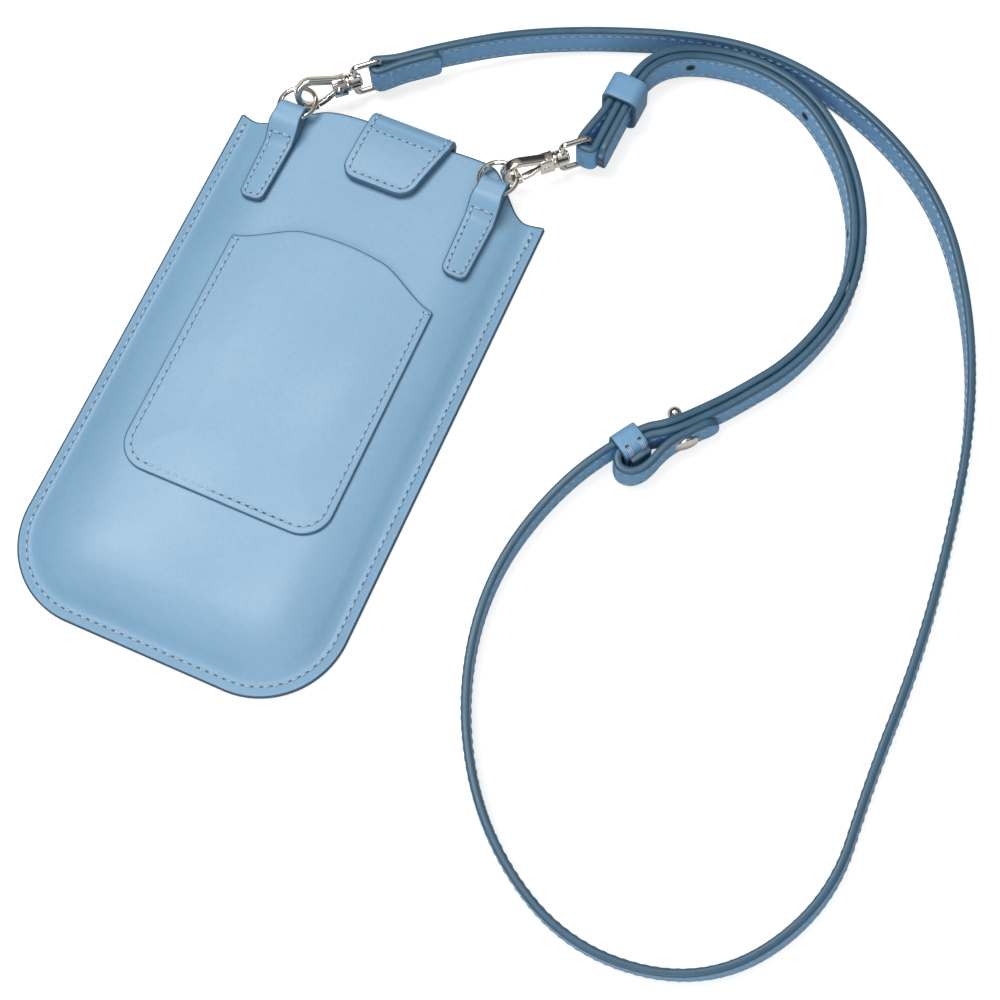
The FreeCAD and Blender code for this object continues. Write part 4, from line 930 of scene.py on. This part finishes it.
# In the hook's own frame: X runs from the bend to the swivel, Z along the gate's pin.
hookSet = {"bendX": -16.9, "bend": 4.5, "armAngle": 71.7, "tipAngle": 281.8, "thick": 1.1, "deep": 1.55, "edge": 0.55,
           "armStart": (-7.4, 2.08), "tipSteps": (0.02, 0.1, 0.18, 0.24),
           "blockStart": -10.0, "blockEnd": -5.0, "blockLow": 1.3, "blockHalf": 3.1, "blockDeep": 2.2,
           "blockEdge": 0.8, "backStart": -5.9, "backEdge": 0.4,
           "slot": 1.3, "cheekIn": 0.3, "cheekTop": 2.0, "cheekEdge": 0.32, "pin": (-7.6, -0.7),
           "swivel": [(-5.3, 0.02), (-5.3, 2.2), (-5.1, 2.6), (-4.75, 2.8), (-4.05, 2.8), (-3.8, 2.6), (-3.72, 2.2),
                      (-3.72, 1.18), (-0.4, 1.18), (-0.4, 1.8), (-0.3, 2.08), (0.1, 2.08), (0.32, 1.8), (0.4, 1.2),
                      (0.42, 0.02)],
           "rivet": [(2.1, 0.79), (2.15, 1.25), (2.35, 1.05), (2.52, 0.6), (2.58, 0.02)],
           "left": ((-20.7, 111.3, 10.5), 41.3, 61.4), "right": ((53.3, 111.3, 10.5), 41.5, 85.3)}
gateSet = {"tip": (-15.5, -4.34), "bow": 0.55, "thick": 0.92, "deep": 0.67, "edge": 0.4, "spread": 0.45,
           "spreadFrom": 0.42, "spreadRamp": 0.15, "boss": [(0.5, 1.65), (0.67, 1.4), (0.67, 0.02)]}


def hookParts():
    f = hookSet
    a = np.radians(np.linspace(f["armAngle"], f["tipAngle"], 44))
    arc = cols(f["bendX"] + f["bend"] * np.cos(a), f["bend"] * np.sin(a))
    arm = np.linspace(f["armStart"], arc[0], 16)[:-1]
    tip = arc[-1] + np.outer(f["tipSteps"], unit(arc[-1] - arc[-2]))
    s, e, h, d = f["blockStart"], f["blockEnd"], f["blockHalf"], f["blockDeep"]
    parts = [bandSweep(np.concatenate([arm, arc, tip]), f["thick"], f["deep"], f["edge"]),
             roundedBox((s, f["blockLow"], -d), (e, h, d), f["blockEdge"]),
             roundedBox((f["backStart"], -h, -d), (e, h, d), f["backEdge"])]
    for low, high in ((f["slot"], d), (-d, -f["slot"])):  # the fork's two cheeks
        parts.append(roundedBox((s + f["cheekIn"], -h, low), (e, f["cheekTop"], high), f["cheekEdge"]))
    return parts + [lathe(f["swivel"])]


def gateParts():
    # bowed so that its end lies square to the hook's tip; broader only past the fork and its spring
    f, (px, py), (tipX, tipY) = gateSet, hookSet["pin"], gateSet["tip"]
    t = np.concatenate([np.linspace(0.0, 0.95, 24), np.linspace(0.965, 1.0, 6)])
    path = cols(px + (tipX - px) * t, py + (tipY - py) * (t + f["bow"] * t * (1 - t)))
    spread = 1 + f["spread"] * smooth01((t - f["spreadFrom"]) / f["spreadRamp"])
    return [bandSweep(path, f["thick"], f["deep"], f["edge"], spread=spread), onPin(f["boss"])]


def axisTurn(yaw, roll):
    y, r = math.radians(yaw), math.radians(roll)
    plan = np.array([[math.cos(y), -math.sin(y), 0], [math.sin(y), math.cos(y), 0], [0, 0, 1.0]])
    tilt = np.array([[1.0, 0, 0], [0, math.cos(r), -math.sin(r)], [0, math.sin(r), math.cos(r)]])
    return plan @ tilt


hookPieces = (("Hook", hookParts(), "_hook_frame", "_hook"), ("Gate", gateParts(), "_gate", "_gate"),
              ("Rivet", [onPin(hookSet["rivet"])], "_gate_pin", "_hook"))
for sideName in ("left", "right"):
    origin, yaw, roll = hookSet[sideName]
    turn = axisTurn(yaw, roll)
    for label, parts, node, body in hookPieces:
        piece = joined(sideName + label, parts, [nickel], turn, origin)
        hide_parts(sideName + node)
        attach(piece, sideName + body)

# Ball stud: a round-edged base on the returned end and a ball on the inner side.
studSet = {"point": (121.35, 39.9, 7.5), "out": (0.66841, -0.7438), "ball": 2.3, "far": -7.04, "neckFrom": 2.1,
           "neck": 1.2, "base": [(0.02, 0.02), (0.02, 3.7), (0.3, 4.0), (0.7, 3.95), (1.0, 3.6), (1.15, 2.9),
                                 (1.1, 2.6), (1.25, 2.3), (1.35, 1.2), (1.38, 0.02)]}
ox, oy = studSet["out"]
studTurn = np.array([[ox, -oy, 0.0], [oy, ox, 0.0], [0, 0, 1.0]])
fromStud = foldLine[:, :2] - studSet["point"][:2]
nearest = np.argmin(np.abs(fromStud @ np.array((-oy, ox))))
b = float(fromStud[nearest] @ np.array((ox, oy))) + strapSet["thick"] / 2
print("stage: stud base", round(b, 2))
studBase = joined("studBase", [lathe([(b + x, r) for x, r in studSet["base"]])], [nickel], studTurn, studSet["point"])
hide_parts("stud_base")
r, ballMid = studSet["ball"], studSet["far"] + studSet["ball"]
ballProfile = [(ballMid + r * math.cos(t), max(0.02, r * math.sin(t))) for t in np.linspace(math.pi, 0.6, 22)]
ballProfile += [(ballMid + studSet["neckFrom"], studSet["neck"]), (b, studSet["neck"]), (b, 0.02)]
studBall = joined("studBall", [lathe(ballProfile)], [nickel], studTurn, studSet["point"])
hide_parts("stud_ball")
for piece in (studBase, studBall):
    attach(piece, "pouch")
print("stage: hardware")

# Keepers in their own frame: low and high across the strap, base and rise upwards, way along the strap.
keeperSet = {"lower": {"centre": (108.84, 28.1), "way": (0.5368, 0.8436), "low": -3.75, "high": 2.75, "base": 1.3,
                       "rise": 12.45, "length": 8.8, "wall": 1.15, "round": 2.6},
             "upper": {"centre": (63.56, 137.12), "way": (-0.0553, -0.9985), "low": -5.85, "high": 3.5, "base": 4.15,
                       "rise": 12.75, "length": 9.4, "wall": 1.45, "round": 3.2}}
# place of each thread along the keeper with its hole's radius, and the thread's line from the upper edge
threadSet = {"at": ((-2.55, 0.25), (-2.0, 0.7), (-1.45, 0.25), (1.95, 0.25), (2.5, 0.7), (3.05, 0.25)),
             "x": (2.5, 1.8, 0.75, 0.1, -0.12, -0.05), "z": (0.13, 0.22, -0.05, -1.0, -2.2, -3.4), "radius": 0.2}
# an inner ply box, partly real ply and partly painted shade for the gap inside the loop
plyAndShadeSet = {"from": -2.9, "to": 4.2, "out": 2.0, "in": 0.4, "low": 0.6, "high": 12.2, "edge": 0.5}


def keeperAxes(f):
    way = unit(np.array([f["way"][0], f["way"][1], 0.0]))
    return way, np.array([-way[1], way[0], 0.0]), np.array([0.0, 0.0, 1.0])


def keeperPiece(name, f):
    # closed band: a small rounded section swept round a rounded rectangle
    way, left, up = keeperAxes(f)
    wall, r = f["wall"], f["round"]
    angle, centreX, centreZ = roundedCorners(f["low"] - wall + r, f["high"] + wall - r, f["base"] - wall + r,
                                             f["base"] + f["rise"] + wall - r, 13)
    e, half = 0.3, f["length"] / 2
    section = np.array([(-half + e, 0.0), (-half * 0.5, 0.06), (half * 0.5, 0.06), (half - e, 0.0),
                        (half - 0.08, -0.1), (half, -e), (half, -wall + e), (half - e, -wall), (-half + e, -wall),
                        (-half, -wall + e), (-half, -e), (-half + 0.08, -0.1)])
    reach = r + section[:, 1]
    x = centreX[:, None] + np.outer(np.cos(angle), reach)
    z = centreZ[:, None] + np.outer(np.sin(angle), reach)
    verts = np.array(f["centre"] + (0.0,)) + x[..., None] * left + z[..., None] * up + section[:, :1] * way
    faces = gridFaces(len(angle), len(section), closeU=True, closeV=True, flip=True)
    index = np.tile([0, 0, 0, 1, 1, 1, 1, 0, 1, 1, 1, 1], len(angle))
    return meshObject(name, verts.reshape(-1, 3), faces, [keeperLeather, strapPaint], index)


def keeperThreads(name, f, materials):
    # each coarse thread leaves a hole in the top, shown as a dark disc of painted shade, bends over the near upper
    # edge and goes into the near side
    across, left, up = keeperAxes(f)
    x = f["low"] - f["wall"] + np.array(threadSet["x"])
    z = f["base"] + f["rise"] + f["wall"] + np.array(threadSet["z"])
    middle = np.array(f["centre"] + (0.0,)) + x[:, None] * left + z[:, None] * up
    n = len(middle)
    grow = np.concatenate([[0.5], np.ones(n - 2), [0.5]])[:, None] * threadSet["radius"]
    way = unit(np.gradient(middle, axis=0))
    side = unit(np.cross(way, across))
    out = np.cross(side, way)
    verts, faces, index = [], [], []
    for at, hole in threadSet["at"]:
        line, start = middle + at * across, len(verts) // 2 * (6 * n + 6)
        verts.append((line[:, None] + circleOf(hexagon, side * grow, out * grow)).reshape(-1, 3))
        verts.append(line[0] + circleOf(hexagon, out[0] * hole, way[0] * hole))
        end = start + 6 * n
        faces += [tuple(face) for face in gridFaces(n, 6, start, closeV=True)]
        faces += [tuple(range(start, start + 6))[::-1], tuple(range(end - 6, end)), tuple(range(end, end + 6))]
        index += [0] * (6 * n - 4) + [1]
    return meshObject(name, np.concatenate(verts), faces, materials, index)


lowerKeeper = keeperPiece("lowerKeeper", keeperSet["lower"])
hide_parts("lower_keeper")
keeperStitch = keeperThreads("keeperStitch", keeperSet["lower"], [threadPale, paintedDeepHoleShade])
# the keeper's inner ply shows below its sewn edge; the box is coloured with the dark strap paint as painted shade,
# filling the shaded gap inside the strap's loop
plySide = keeperSet["lower"]["low"] - keeperSet["lower"]["wall"]
plyAndShadeBox = roundedBox((plyAndShadeSet["from"], plySide - plyAndShadeSet["out"], plyAndShadeSet["low"]),
                    (plyAndShadeSet["to"], plySide + plyAndShadeSet["in"], plyAndShadeSet["high"]), plyAndShadeSet["edge"])
keeperPlyAndShade = joined("keeperPlyAndShade", [plyAndShadeBox], [strapPaint], np.stack(keeperAxes(keeperSet["lower"]), 1),
                   keeperSet["lower"]["centre"] + (0.0,))
for piece in (lowerKeeper, keeperStitch, keeperPlyAndShade):
    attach(piece, "pouch")
upperKeeper = keeperPiece("upperKeeper", keeperSet["upper"])
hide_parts("upper_keeper")
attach(upperKeeper, "upper_keeper")
print("stage: keepers")
